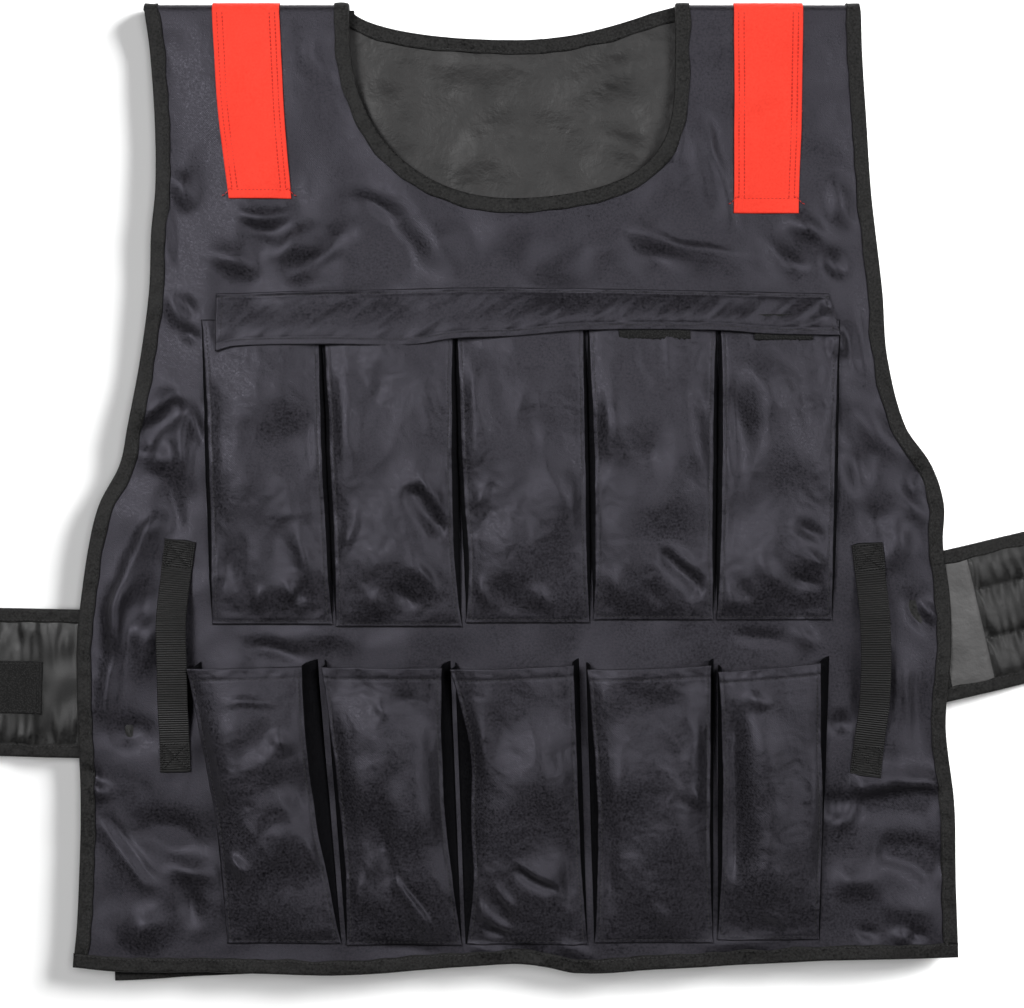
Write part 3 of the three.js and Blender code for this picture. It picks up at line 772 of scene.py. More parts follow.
@dataclass(frozen=True)
class ThreadFinish(Finish):
    """Sewing thread: plain, slightly glossy, with a twist along it.

    Attributes:
        twist: the twist's size.
    """

    twist: float = 0.5

    def build(self) -> bpy.types.Material:
        """Makes the material: a fine noise in tone and relief.

        Returns:
            The material.
        """
        s = Shader(self.name)
        twist = s.noise(METRE / self.twist, 1.0)
        colour = s.blend(s.spread(twist, 0.0, 1.0), self.dark, self.light)
        return s.finish(colour, 0.6, s.bump(twist, 0.05 * MM))


PLAIN_GLOSS = (1.0, 1.0, 1.0)
FINISHES = {
    "cloth": WovenFinish("satin_twill", (0.002, 0.0018, 0.0024), (0.023, 0.0216, 0.026)),
    # The gussets' finish is far darker and more matt than the cloth: painted shade for the deep shadow in the
    # gaps between the pockets.
    "gusset": WovenFinish(
        "gusset_painted_shade", (0.0003, 0.0003, 0.0004), (0.005, 0.005, 0.0056), 0.8, 0.0, specular=0.08,
    ),
    "lining": CoatedFinish("coated_lining", (0.009, 0.0086, 0.0086), (0.027, 0.0258, 0.0258)),
    "tape": WovenFinish(
        "binding_tape", (0.001, 0.001, 0.001), (0.028, 0.0275, 0.027), 0.6, 0.01, PLAIN_GLOSS, 1.1, 0.05,
        specular=0.12,
    ),
    "red": WovenFinish(
        "red_cloth", (0.76, 0.026, 0.012), (0.90, 0.060, 0.036), 0.65, 0.05, (1.0, 0.6, 0.5), 0.8, 0.05,
        0.6, 0.3,
    ),
    "webbing": RibbedFinish(
        "ribbed_webbing", (0.0005, 0.0005, 0.0005), (0.017, 0.0165, 0.0165), 1.6, 0.5, 0.5, 0.4,
    ),
    "belt": WovenFinish(
        "belt_cloth", (0.001, 0.001, 0.001), (0.012, 0.0118, 0.0116), 0.42, 0.02, PLAIN_GLOSS,
    ),
    "belt_lining": CoatedFinish("belt_lining", (0.048, 0.047, 0.047), (0.098, 0.096, 0.096)),
    "pile": PileFinish("fastener_pile", (0.006, 0.006, 0.006), (0.045, 0.044, 0.044)),
    "thread": ThreadFinish("dark_thread", (0.004, 0.004, 0.004), (0.020, 0.0195, 0.020)),
    "red_thread": ThreadFinish("red_thread", (0.45, 0.014, 0.009), (0.66, 0.028, 0.017)),
}


class Wardrobe:
    """Makes each finish once, and dresses, fixes and reports the pieces."""

    def __init__(self) -> None:
        """Makes all the materials."""
        self.materials = {name: finish.build() for name, finish in FINISHES.items()}

    def dress(
        self, piece: Object, finish: str, slot: Slot, *nodes: str
    ) -> Object:
        """Gives a piece its material and its body, and hides the solids that it stands for.

        Args:
            piece: the new object.
            finish: a name in FINISHES.
            slot: not used.
            nodes: names of the solids.

        Returns:
            The same object.
        """
        piece.data.materials.append(self.materials[finish])
        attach(piece, "root")
        if nodes:
            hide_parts(*nodes)
        LOG.info("%s: %d points", piece.name, len(piece.data.vertices))
        return piece

    def inset(self, piece: Object, finish: str, chosen: Array) -> None:
        """Gives some of a dressed piece's faces a second material.

        Args:
            piece: the object.
            finish: a name in FINISHES.
            chosen: for each face, whether it is one of them.
        """
        piece.data.materials.append(self.materials[finish])
        piece.data.polygons.foreach_set("material_index", chosen.astype(np.int32).ravel())


def side_x(side: int, y: Array) -> Array:
    """The side edge's x at each y; side is -1 on the left and 1 on the right."""
    down = (SHOULDER_Y - np.asarray(y, float)) / VEST_LENGTH
    return side * HALF_WIDTH * read_table(OUTLINE, 1 if side < 0 else 2, down)


@dataclass(frozen=True)
class Neckline:
    """A neck opening: 1 = |across|^2 + |down|^power, with its own power on each side.

    Attributes:
        depth: how far it comes down from the shoulder line.
        left: the power on the left.
        right: the power on the right.
    """

    depth: float
    left: float
    right: float

    def points(self, side: int, top: float, count: int) -> Array:
        """Places along it from a level to its lowest point, evenly spaced.

        With a turn from 0 to a quarter, across is its cosine and down is its sine to the power
        of two over the curve's own power.

        Args:
            side: -1 for its left half, 1 for its right.
            top: y where it starts.
            count: how many places.

        Returns:
            (count, 2) places.
        """
        turn = np.linspace(0, math.pi / 2, CURVE_POINTS)
        power = self.left if side < 0 else self.right
        x = side * NECK_HALF_WIDTH * np.cos(turn)
        y = SHOULDER_Y - self.depth * np.sin(turn) ** (2 / power)
        first = np.interp(-top, -y, x)
        keep = y < top
        curve = np.concatenate([[[first, top]], np.stack([x[keep], y[keep]], axis=1)])
        at = along_lengths(curve)
        where = np.linspace(0, at[-1], count)
        return np.stack([np.interp(where, at, curve[:, k]) for k in (0, 1)], axis=1)


FRONT_NECK = Neckline(131.0, 2.7, 5.6)
BACK_NECK = Neckline(24.0, 2.0, 0.9)

# The front panel's folds.
FRONT_FOLDS = lay_folds(
    # the chest, below the left strip and the neck
    (-192, 183, -140, 184, 2.4, 5, 9, -5), (-190, 176, -142, 176, -2, 6, 6, -6),
    (-222, 214, -216, 178, 2.6, 9, 8), (-168, 148, -120, 172, 2.6, 7, 10, 3),
    (-206, 158, -168, 136, 2.8, 8, 9, 4), (-150, 130, -92, 176, -2.6, 8, 7, 6),
    (-128, 190, -58, 166, -3.4, 10, 12, 6), (-62, 140, -30, 172, 2.6, 12, 16, 4),
    (-30, 168, 50, 170, 2, 10, 20, 8), (60, 172, 128, 150, -2.6, 8, 12, -6),
    (40, 150, 110, 165, 1.6, 10, 10, 6), (80, 175, 158, 152, 1.8, 3, 9, -5),
    # right chest and the shoulder beside the neck
    (117, 262, 148, 160, 2.2, 5, 10, 4), (126, 230, 140, 176, -1.8, 6, 6, 3),
    (164, 166, 206, 140, -2.6, 7, 10, -4), (178, 176, 214, 158, 2.2, 8, 6, 3),
    (206, 158, 224, 136, -2.4, 7, 7), (208, 210, 226, 166, 2.2, 8, 8, 3), (112, 246, 100, 212, 1.8, 5, 8),
    (-100, 178, -34, 150, -2, 9, 12, -4), (-176, 118, -96, 134, 1.8, 9, 8, 3),
    (-90, 112, -20, 128, 1.5, 9, 10, 3), (0, 138, 70, 116, -1.6, 10, 10), (150, 128, 196, 112, 1.6, 8, 8),
    (-240, 196, -224, 132, 2, 5, 9),
    # left armhole
    (-236, 132, -214, 100, 2, 6, 7, 3), (-228, 128, -208, 112, -2.2, 4, 4),
    (-222, 110, -206, 92, -1.8, 4, 5), (-249, 22, -218, 56, -4.2, 6, 7, 3, 0.25),
    (-246, 36, -222, 66, 2.6, 9, 6, 2), (-221, 52, -214, -12, 3.2, 4, 7, -2),
    (-216, 58, -206, 20, -3, 5, 3), (-244, 8, -228, 28, 2.6, 8, 9), (-232, 10, -226, -46, -2.6, 7, 8, 3),
    # left side, down to the hem
    (-231, -12, -269, -120, 3.4, 8, 5, -8, 0.2), (-262, -54, -274, -168, 2.6, 4, 6, 3, 0.25),
    (-238, -60, -250, -100, -2.6, 9, 9), (-262, -132, -232, -72, 2.8, 9, 9, -4),
    (-270, -170, -236, -160, -3, 8, 10), (-282, -194, -268, -212, 3.4, 4, 5),
    (-286, -186, -272, -204, -2.6, 3, 3), (-278, -221, -235, -272, 1.3, 1.6, 6, 0, 0.2),
    (-276, -218, -236, -268, -1.2, 3, 1.6, 0, 0.25), (-262, -226, -200, -252, -4.2, 11, 12, 5),
    (-232, -252, -192, -262, 3.2, 9, 7), (-262, -308, -226, -282, 3.6, 9, 9),
    (-222, -256, -210, -300, -3, 6, 6),
    # right armhole and right side
    (224, 132, 238, 60, 1.8, 6, 9), (262, -10, 246, -60, 2.6, 9, 8, 4), (232, -6, 250, -40, -2.2, 7, 7),
    (276, 20, 262, -16, -2.2, 6, 7), (216, 106, 222, 84, 2.6, 4, 7), (222, 112, 230, 70, -2, 6, 6),
    (232, 66, 262, 12, 3, 9, 10, -4), (226, 40, 238, -20, -2.4, 8, 8), (250, 2, 276, -30, 2.6, 7, 8, 4),
    (272, -74, 284, -94, 3.2, 3, 5), (262, -68, 278, -102, -2.4, 6, 5),
    (254, -100, 264, -170, 2.2, 8, 8, 4), (270, -110, 276, -186, -1.8, 7, 7, -3),
    (222, -205, 290, -203, 3.6, 9, 3, 6, 0.15), (226, -217, 286, -214, -3, 6, 12, 6, 0.2),
    (240, -240, 288, -262, -4, 9, 10, 4, 0.25), (208, -262, 250, -258, 3.2, 9, 9, -4),
    (234, -276, 290, -286, 2.4, 10, 10), (214, -150, 222, -168, -3, 6, 6),
    (212, -200, 222, -228, -4, 6, 7), (214, -234, 228, -212, 2.6, 5, 5),
    (232, -304, 244, -294, -2.4, 5, 5), (254, -306, 262, -296, 2, 5, 5),
    (266, -306, 274, -297, -2.2, 5, 5),
    # the hem between the pockets and the tape
    (-110, -304, -40, -312, -1.8, 4, 6), (-30, -305, 0, -312, 2.2, 4, 5), (0, -306, 24, -316, -2.4, 4, 5),
    (24, -306, 60, -316, 2.2, 5, 5), (118, -306, 182, -304, 1.8, 4, 5),
    # the strip between the two rows of pockets
    (-190, -98, -80, -104, 1.4, 8, 8), (-196, -104, -130, -116, -1.8, 5, 5),
    (140, -98, 190, -108, -1.8, 5, 5), (185, -90, 204, -110, 2, 5, 6),
)

# The back panel's folds, which show through the neck opening.
BACK_FOLDS = lay_folds(
    (-40, 196, 14, 252, 2.4, 10, 6, 4), (8, 254, 60, 196, -2.2, 8, 9), (30, 256, 88, 286, 2.2, 6, 10, 3),
    (-78, 286, -26, 250, -2.4, 8, 10), (-62, 292, 34, 284, 1.6, 6, 9, -4), (56, 272, 94, 222, -2, 9, 9),
    (-96, 276, -70, 222, 2.2, 8, 12), (60, 240, 96, 214, 1.8, 7, 7), (-30, 236, 0, 206, 1.4, 6, 8),
)
BACK_RELIEF = Relief(BACK_FOLDS, 1.2, 0.7, 71, 3.2)
BACK_RISE = 1.2
# The back's lower left corner lies this far further in, and this far above the hem not at all.
CORNER_IN = 27.0
CORNER_RISE = 150.0


@dataclass
class FrontSurface:
    """The front panel's upper face as a height over the floor, for all that lies on it.

    Attributes:
        relief: its folds.
        edge_drop: how far its side edges hang lower than its middle.
        drop_width: how far in from the edge that drop starts.
        roll_fade: how far below the shoulder roll the folds start.
        edge_share: the share of the folds' height that is left at the side edges.
        deepest: how far a fold may sink.
    """

    relief: Relief = field(default_factory=lambda: Relief(FRONT_FOLDS, 2.4, 0.6, 11, 1.75))
    edge_drop: float = 2.0
    drop_width: float = 40.0
    roll_fade: float = 25.0
    edge_share: float = 0.45
    deepest: float = 4.2

    def top(self, x: Array, y: Array) -> Array:
        """The level plus the folds, less a drop near the side edges and none at the shoulder roll.

        Args:
            x: places across.
            y: places along.

        Returns:
            The height at each place.
        """
        x, y = np.broadcast_arrays(np.asarray(x, float), np.asarray(y, float))
        inside = np.minimum(x - side_x(-1, y), side_x(1, y) - x)
        fade = smooth((ROLL_LINE_Y - y) / self.roll_fade)
        calm = smooth((inside + 4) / 16)
        drop = self.edge_drop * (1 - smooth(inside / self.drop_width)) * fade
        kept = self.edge_share + (1 - self.edge_share) * calm
        return FRONT_TOP + np.maximum(self.relief.height(x, y) * fade * kept - drop, -self.deepest)


class PanelKind(Enum):
    """The two panels of the vest."""

    FRONT = "front"
    BACK = "back"


def hem_shift(kind: PanelKind, x: Array, y: Array) -> Array:
    """How far the hem's own line moves a place down: all of it at the hem, none well above it.

    Args:
        kind: which panel.
        x: places across.
        y: places along.

    Returns:
        The move at each place.
    """
    near = np.clip((HEM_Y + HEM_FADE - y) / HEM_FADE, 0, 1)
    column = 1 if kind is PanelKind.FRONT else 2
    return HEM_DIP * near * read_table(HEMS, column, x / HALF_WIDTH)


@dataclass
class Panel:
    """One of the two panels, in two halves that meet on the centre line below the neck.

    Attributes:
        kind: front or back.
        neck: its neck opening.
        surface: the front's folds.
        across: cells across a half.
        neck_rows: rows of points beside the neck.
        body_rows: rows below it.
        slope: how much lower the row that ends at the neck's lowest point starts at the side.
    """

    kind: PanelKind
    neck: Neckline
    surface: FrontSurface
    across: int = 92
    neck_rows: int = 72
    body_rows: int = 158
    slope: float = 70.0

    @property
    def top_y(self) -> float:
        """Where its flat part starts."""
        return ROLL_LINE_Y if self.kind is PanelKind.FRONT else ROLL_LINE_Y - SEAM_GAP

    def height(self, x: Array, y: Array) -> Array:
        """Its upper face's height: the front's folds, or the back's, which are calm by its edges.

        Args:
            x: places across.
            y: places along.

        Returns:
            The height at each place.
        """
        if self.kind is PanelKind.FRONT:
            return self.surface.top(x, y)
        ripple = 0.35 * soft_noise(x, y, 30, 71) + 0.25 * soft_noise(x + y, y - x, 12, 72)
        inside = np.minimum(x - self.outer(-1, y), self.outer(1, y) - x)
        calm = smooth((inside - 8) / 25) * smooth((SHOULDER_Y - 6 - y) / 20)
        lift = np.clip(ripple + BACK_RELIEF.height(x, y) + BACK_RISE, -0.6, 5.0)
        return BACK_LEVEL + CLOTH / 2 + calm * lift

    def outer(self, side: int, y: Array) -> Array:
        """The side edge; the back's lower left corner lies further in than the front's.

        Args:
            side: -1 for the left, 1 for the right.
            y: places along.

        Returns:
            x at each place.
        """
        edge = side_x(side, y)
        if self.kind is PanelKind.BACK and side < 0:
            edge = edge + CORNER_IN * smooth((HEM_Y + CORNER_RISE - y) / CORNER_RISE)
        return edge

    def half(self, side: int) -> Array:
        """The upper face of one half, from the side edge to the neck or centre line.

        A row runs straight from its place on the side edge to its place on the neckline, or
        below that on the centre line. The rows beside the neck slope down to the side.

        Args:
            side: -1 for the left, 1 for the right.

        Returns:
            A (rows, places, 3) grid.
        """
        low = SHOULDER_Y - self.neck.depth
        neck = self.neck.points(side, self.top_y, self.neck_rows)
        rest = np.linspace(low, HEM_Y, self.body_rows + 1)[1:]
        inner_y = np.concatenate([neck[:, 1], rest])[:, None]
        inner_x = np.concatenate([neck[:, 0], 0 * rest])[:, None]
        low_side = low - self.slope
        beside = np.linspace(self.top_y, low_side, self.neck_rows)
        below = np.linspace(low_side, HEM_Y, self.body_rows + 1)[1:]
        outer_y = np.concatenate([beside, below])[:, None]
        share = np.linspace(0, 1, self.across + 1)[None, :]
        x = self.outer(side, outer_y) * (1 - share) + inner_x * share
        y = outer_y * (1 - share) + inner_y * share
        y = y - hem_shift(self.kind, x, y)
        return np.stack([x, y, self.height(x, y)], axis=2)

    def edge(self, side: int, inner: bool = False) -> Array:
        """An edge of the upper face, from the top down.

        Args:
            side: -1 for the left half, 1 for the right.
            inner: whether it is the neckline, and not the side edge.

        Returns:
            (n, 3) places.
        """
        grid = self.half(side)
        rows = self.neck_rows if inner else len(grid)
        return grid[:rows, -1 if inner else 0]

    def build(self, name: str) -> Object:
        """Makes the mesh: both halves, welded on the centre line, with a wall.

        Args:
            name: the piece's name.

        Returns:
            The new object.
        """
        points, quads = [], []
        count = 0
        for side in (-1, 1):
            grid = self.half(side)
            if self.kind is PanelKind.FRONT:
                grid = np.concatenate([over_roll(grid[0, :, 0], 0.0), grid])
            if side > 0:
                grid = grid[:, ::-1]
            points.append(grid.reshape(-1, 3))
            quads.append(grid_quads(*grid.shape[:2], count))
            count += grid.shape[0] * grid.shape[1]
        piece = make_piece(name, np.concatenate(points), np.concatenate(quads))
        weld_close(piece)
        give_wall(piece, CLOTH)
        return piece


def weld_close(piece: Object, distance: float = 0.002) -> None:
    """Joins points of a mesh that lie at the same place, within a distance in millimetres."""
    weld = piece.modifiers.new("weld", "WELD")
    weld.merge_threshold = distance * MM


def grid_faces_down(grid: Array) -> bool:
    """Whether the faces over the cloth in a tape's grid point down.

    Args:
        grid: (rows, columns, 3) places.

    Returns:
        Whether the cross product of a step along and a step across has z below 0.
    """
    middle = len(grid) // 2
    along = grid[middle + 1, 2] - grid[middle, 2]
    across = grid[middle, 3] - grid[middle, 2]
    return float(np.cross(along, across)[2]) < 0


# How far a tape's fold reaches past the edge, its wall, and how its stitches' row is weighed
# between two of its columns.
TAPE_NOSE = 1.26
TAPE_WALL = 0.8
TAPE_STITCHES = (0.76, 0.24)


@dataclass
class EdgeTape:
    """A tape folded over an edge, with a row of stitches near its inner edge.

    Attributes:
        width: how far it reaches over the cloth.
        wave: how much its inner edge wanders.
        seed: which wandering.
        cloth: the thickness of what it binds.
    """

    width: float = 8.7
    wave: float = 1.3
    seed: int = 5
    cloth: float = CLOTH

    def section(self) -> tuple[Array, Array]:
        """The tape's outer face: over the cloth, round a half circle past its edge, and back under.

        Returns:
            How far each point lies in from the edge, and its height over the cloth's middle.
        """
        far = self.cloth / 2 + SEAM_GAP + TAPE
        legs = np.array([1.0, 0.97, 0.8, 0.62, 0.5, 0.38, 0.2, 0.06]) * self.width
        lift = np.array([-0.45, 0.0, -0.05, -0.02, 0.05, 0.0, 0.05, 0.0])
        angle = np.linspace(math.pi / 2, -math.pi / 2, 9)[1:-1]
        nose_in, nose_up = -TAPE_NOSE * np.cos(angle), far * np.sin(angle)
        return (
            np.concatenate([legs, nose_in, legs[::-1]]),
            np.concatenate([far + lift, nose_up, -(far + lift[::-1])]),
        )

    def grid(self, edge: Array, inward: Array, up: Array, above: Array) -> Array:
        """The tape along an edge.

        Each station's section is laid from the edge inwards; a wandering share stretches it, and
        above lifts the part that lies over the cloth as the cloth there rises.

        Args:
            edge: (n, 3) places of the cloth's middle at the edge.
            inward: (n, 3) ways over the cloth.
            up: (n, 3) ways out of the cloth.
            above: (n, sections) extra heights along up.

        Returns:
            An (n, sections, 3) grid.
        """
        reach, rise = self.section()
        at = along_lengths(edge)
        wander = 1 + self.wave / self.width * soft_noise(at, 0 * at, 17, self.seed)
        pucker = 0.75 * soft_noise(at, 0 * at + 3, 7, self.seed + 1)
        deep = np.clip(reach / self.width, 0, 1)
        along = reach[None, :] * (1 + (wander - 1)[:, None] * deep[None, :])
        middle = (4 * deep * (1 - deep) * np.sign(rise))[None, :]
        high = rise[None, :] + pucker[:, None] * middle + above
        return edge[:, None] + inward[:, None] * along[..., None] + up[:, None] * high[..., None]

    def build(self, name: str, *stations: Array) -> tuple[Object, Array, float]:
        """Makes the tape's mesh, kept clear of the floor, with its wall and its own UV map.

        Args:
            name: the solid that it stands for.
            stations: edges, inward ways, ups and extra heights, as grid takes them.

        Returns:
            The new object, the path of its stitches, and its length in metres.
        """
        grid = self.grid(*stations)
        grid[..., 2] = np.maximum(grid[..., 2], FLOOR_CLEAR)
        at = along_lengths(stations[0])
        reach, _ = self.section()
        across = np.cumsum(np.abs(np.gradient(reach)))
        piece = sheet_piece(name + "_tape", grid, as_grid(across[None, :], at[:, None]))
        if grid_faces_down(grid):
            piece.data.flip_normals()
        give_wall(piece, TAPE_WALL)
        near, far = TAPE_STITCHES
        return piece, near * grid[:, 1] + far * grid[:, 5], float(at[-1]) * MM


# share of a stitch's length, thickness, and how far it lies over the row.
STITCH_RINGS = ((0.0, 0.45, -0.22), (0.5, 1.0, 0.0), (1.0, 0.45, -0.22))


@dataclass
class Stitches:
    """Rows of short thread stitches, joined in one mesh.

    Attributes:
        pitch: from one stitch to the next.
        share: how much of the pitch a stitch takes.
        radius: half the thread's thickness.
    """

    pitch: float = 3.0
    share: float = 0.72
    radius: float = 0.26
    runs: list[Array] = field(default_factory=list)

    def add(self, path: Array, lift: float = 0.1) -> None:
        """Adds a row along a path, its threads lifted over it."""
        raised = path + np.array([0, 0, lift])
        self.runs.append(even_path(raised, self.pitch))

    def build(self, name: str) -> Object:
        """Makes the mesh.

        Each stitch is a square thread of three rings from one end to the other, thick in its
        middle and sunk at both ends.

        Args:
            name: the piece's name.

        Returns:
            The new object.
        """
        starts = np.concatenate([run[:-1] for run in self.runs])
        ways = np.concatenate([np.diff(run, axis=0) for run in self.runs])
        length = np.linalg.norm(ways, axis=1, keepdims=True)
        way = ways / np.maximum(length, 1e-9)
        beside = np.stack([-way[:, 1], way[:, 0], 0 * way[:, 0]], axis=1)
        beside /= np.maximum(np.linalg.norm(beside, axis=1, keepdims=True), 1e-9)
        over = np.cross(way, beside)
        over *= np.sign(over[:, 2:3] + 1e-9)
        beside = np.cross(over, way)
        rings = []
        for place, thick, sink in STITCH_RINGS:
            centre = starts + way * length * ((1 - self.share) / 2 + self.share * place)
            centre = centre + over * sink
            for turn in range(4):
                c, s = math.cos(turn * math.pi / 2), math.sin(turn * math.pi / 2)
                rings.append(centre + self.radius * thick * (beside * c * 1.2 + over * s))
        points = np.stack(rings, axis=1).reshape(-1, 3)
        base = np.arange(len(starts))[:, None] * 12
        cells = [
            [r * 4 + k, r * 4 + (k + 1) % 4, r * 4 + 4 + (k + 1) % 4, r * 4 + 4 + k]
            for r in range(2)
            for k in range(4)
        ] + [[3, 2, 1, 0], [8, 9, 10, 11]]
        quads = (base[:, :, None] + np.array(cells)[None]).reshape(-1, 4)
        return make_piece(name, points, quads)


@dataclass
class SewnParts:
    """Parts that follow the front panel's folds.

    Attributes:
        surface: the front panel's upper face.
        wardrobe: the finishes.
    """

    surface: FrontSurface
    wardrobe: Wardrobe


# How far above the hem the side tapes stop, and where the back neckline's tape starts and ends.
SIDE_TAPE_END = 7.6
BACK_NECK_ENDS = ((-107.0, 318.0), (109.5, 319.6))


@dataclass
class Shell(SewnParts):
    """The two panels with the tapes that bind their edges."""

    def __post_init__(self) -> None:
        """Makes the two panels' shapes, and starts the tapes' stitches."""
        self.front = Panel(PanelKind.FRONT, FRONT_NECK, self.surface)
        self.back = Panel(
            PanelKind.BACK, BACK_NECK, self.surface, across=44, neck_rows=44, body_rows=96, slope=40.0,
        )
        self.threads = Stitches()

    def panels(self) -> None:
        """Makes both panels."""
        front = self.front.build("front_panel_cloth")
        self.wardrobe.dress(front, "cloth", Slot.CLOTH, "front_panel")
        back = self.back.build("back_panel_lining")
        self.wardrobe.dress(back, "lining", Slot.LINING, "back_panel")
        back.data.materials.append(self.wardrobe.materials["cloth"])
        back.modifiers["wall"].material_offset = 1
        back.modifiers["wall"].material_offset_rim = 1

    def stations(self, panel: Panel, path: Array, hand: int) -> tuple[Array, ...]:
        """Edge places, inward ways and ups for a tape along a path on a panel.

        Args:
            panel: the panel whose edge it is.
            path: places on the upper face along the edge.
            hand: 1 if the cloth lies on the left of the path, -1 on the right.

        Returns:
            The edge's middle, the inward ways, the ups, and the cloth's rise at the section.
        """
        inward = level_ways(path, hand)
        up = np.tile([0.0, 0.0, 1.0], (len(path), 1))
        reach = np.maximum(EdgeTape().section()[0], 0)[None, :]
        x, y = (path[:, k:k + 1] + inward[:, k:k + 1] * reach for k in (0, 1))
        return path - np.array([0, 0, CLOTH / 2]), inward, up, panel.height(x, y) - path[:, 2:3]

    def rolled(self, x: float, inward: int) -> tuple[Array, ...]:
        """Stations for a tape round the shoulder roll.

        Args:
            x: the edge's place across.
            inward: the way over the cloth, -1 or 1.

        Returns:
            What stations gives.
        """
        angle = np.linspace(math.pi, 0, 13)[:-1]
        edge = np.stack([
            np.full_like(angle, x),
            ROLL_LINE_Y + ROLL_RADIUS * np.sin(angle),
            FRONT_LEVEL - ROLL_RADIUS * (1 - np.cos(angle)),
        ], axis=1)
        up = np.stack([0 * angle, np.sin(angle), np.cos(angle)], axis=1)
        ways = np.tile([float(inward), 0.0, 0.0], (len(angle), 1))
        return edge, ways, up, np.zeros((len(angle), len(EdgeTape().section()[0])))

    def tape(self, name: str, seed: int, *parts: tuple[Array, ...]) -> None:
        """Makes one tape, and adds its stitches.

        Args:
            name: the solid that it stands for.
            seed: how its inner edge wanders.
            parts: runs of stations, in order.
        """
        stations = [np.concatenate(items) for items in zip(*parts)]
        piece, row, length = EdgeTape(seed=seed).build(name, *stations)
        self.wardrobe.dress(piece, "tape", Slot.TAPE, name)
        self.threads.add(row, 0.05)

    def bind(self) -> None:
        """Makes the eight tapes of the two panels, and their stitches."""
        for word, side in (("left", -1), ("right", 1)):
            edge = even_path(self.front.edge(side), 2.0)
            edge[:, 2] = self.front.height(edge[:, 0], edge[:, 1])
            flat = self.stations(self.front, edge[edge[:, 1] > edge[-1, 1] + SIDE_TAPE_END], -side)
            flat[1][0] = (-side, 0, 0)
            roll = self.rolled(float(side_x(side, SHOULDER_Y)), -side)
            self.tape(f"side_binding_front_{word}", 20 + side, roll, flat)
            edge = even_path(self.back.edge(side), 2.5)
            keep = (edge[:, 1] > edge[-1, 1] + SIDE_TAPE_END) & (edge[:, 1] < edge[0, 1] - 1.5)
            self.tape(f"side_binding_back_{word}", 30 + side, self.stations(self.back, edge[keep], -side))
        for panel, word in ((self.front, "front"), (self.back, "back")):
            left, right = panel.half(-1)[-1], panel.half(1)[-1][::-1]
            hem = even_path(np.concatenate([left, right[1:]]), 2.0)
            hem[[0, -1], 0] += (-1.0, 1.0)
            self.tape(f"hem_binding_{word}", 40 + len(word), self.stations(panel, hem, 1))
        left, right = self.front.edge(-1, True), self.front.edge(1, True)[::-1]
        flat = self.stations(self.front, even_path(np.concatenate([left, right[1:]]), 1.6), -1)
        flat[1][0], flat[1][-1] = (-1, 0, 0), (1, 0, 0)
        first = self.rolled(float(left[0, 0]), -1)
        last = tuple(item[::-1] for item in self.rolled(float(right[-1, 0]), 1))
        self.tape("neck_binding_front", 51, first, flat, last)
        left, right = self.back.edge(-1, True), self.back.edge(1, True)[::-1]
        start, end = ([[*place, z]] for place, z in zip(BACK_NECK_ENDS, (left[0, 2], right[-1, 2])))
        neck = even_path(np.concatenate([start, left, right[1:], end]), 1.6)
        self.tape("neck_binding_back", 57, self.stations(self.back, neck, -1))
        self.wardrobe.dress(self.threads.build("binding_stitches"), "thread", Slot.TAPE)


@dataclass(frozen=True)
class PocketCut:
    """One pocket's outline in millimetres.

    Attributes:
        sewn: where its gussets are sewn, left and right at the mouth, then left and right below.
        edges: rows of the face's own edges: share of the length, left, right.
        length: from mouth to bottom seam.
        skew: how much higher the mouth's right end is than its left.
    """

    sewn: tuple[float, float, float, float]
    edges: tuple[tuple[float, float, float], ...]
    length: float
    skew: float = 0.0


UPPER_CUTS = (
    PocketCut(
        (-205, -129.6, -199, -120.2),
        ((0, -206.4, -128.4), (0.45, -203.4, -124.2), (1, -200, -119.4)), 203.0,
    ),
    PocketCut(
        (-125, -40.2, -116.2, -34.2),
        ((0, -126.2, -39.0), (0.5, -122.0, -37.6), (0.8, -119.0, -36.6), (1, -117.2, -33.0)), 204.5,
    ),
    PocketCut(
        (-36, 46.6, -29.8, 51.2),
        ((0, -37.2, 47.9), (0.5, -34.8, 50.8), (0.8, -30.2, 51.2), (1, -30.6, 52.0)), 202.0,
    ),
    PocketCut((51.4, 135, 55.4, 133.2), ((0, 50.2, 136.2), (0.5, 53.0, 135.6), (1, 54.4, 134.2)), 200.0),
    PocketCut(
        (139.6, 216.6, 137.4, 212.6),
        ((0, 138.4, 217.8), (0.5, 137.8, 216.4), (1, 136.4, 213.4)), 200.0,
    ),
)
LOWER_CUTS = (
    PocketCut(
        (-208, -129.5, -189, -113.6),
        ((0, -215.7, -139.0), (0.3, -206.7, -134.2), (0.58, -198.0, -127.3), (0.75, -194.7, -121.3),
         (1, -190, -113.6)), 184.5, 2.0,
    ),
    PocketCut(
        (-125, -41, -110.4, -33.6),
        ((0, -126.6, -46.3), (0.3, -120.4, -44.7), (0.58, -114.9, -41.3), (0.75, -112.3, -38.0),
         (1, -110.6, -33.2)), 186.0, -0.5,
    ),
    PocketCut(
        (-38, 44.6, -31.0, 50.2),
        ((0, -40.9, 41.3), (0.3, -29.6, 44.6), (0.58, -29.4, 46.8), (0.75, -27.0, 48.2), (1, -30.2, 50.6)),
        185.0, 3.0,
    ),
    PocketCut(
        (49.4, 134.4, 54.8, 134.0),
        ((0, 49.4, 132.0), (0.3, 52.8, 133.8), (0.58, 55.0, 133.6), (1, 54.8, 134.2)), 184.0, 2.5,
    ),
    PocketCut(
        (137.4, 211.5, 137.2, 205.0),
        ((0, 136.4, 204.6), (0.3, 137.4, 206.7), (0.58, 137.8, 208.4), (1, 136.8, 204.8)), 182.0, 6.0,
    ),
)
UPPER_MOUTH_Y = 110.0
LOWER_MOUTH_Y = -121.0

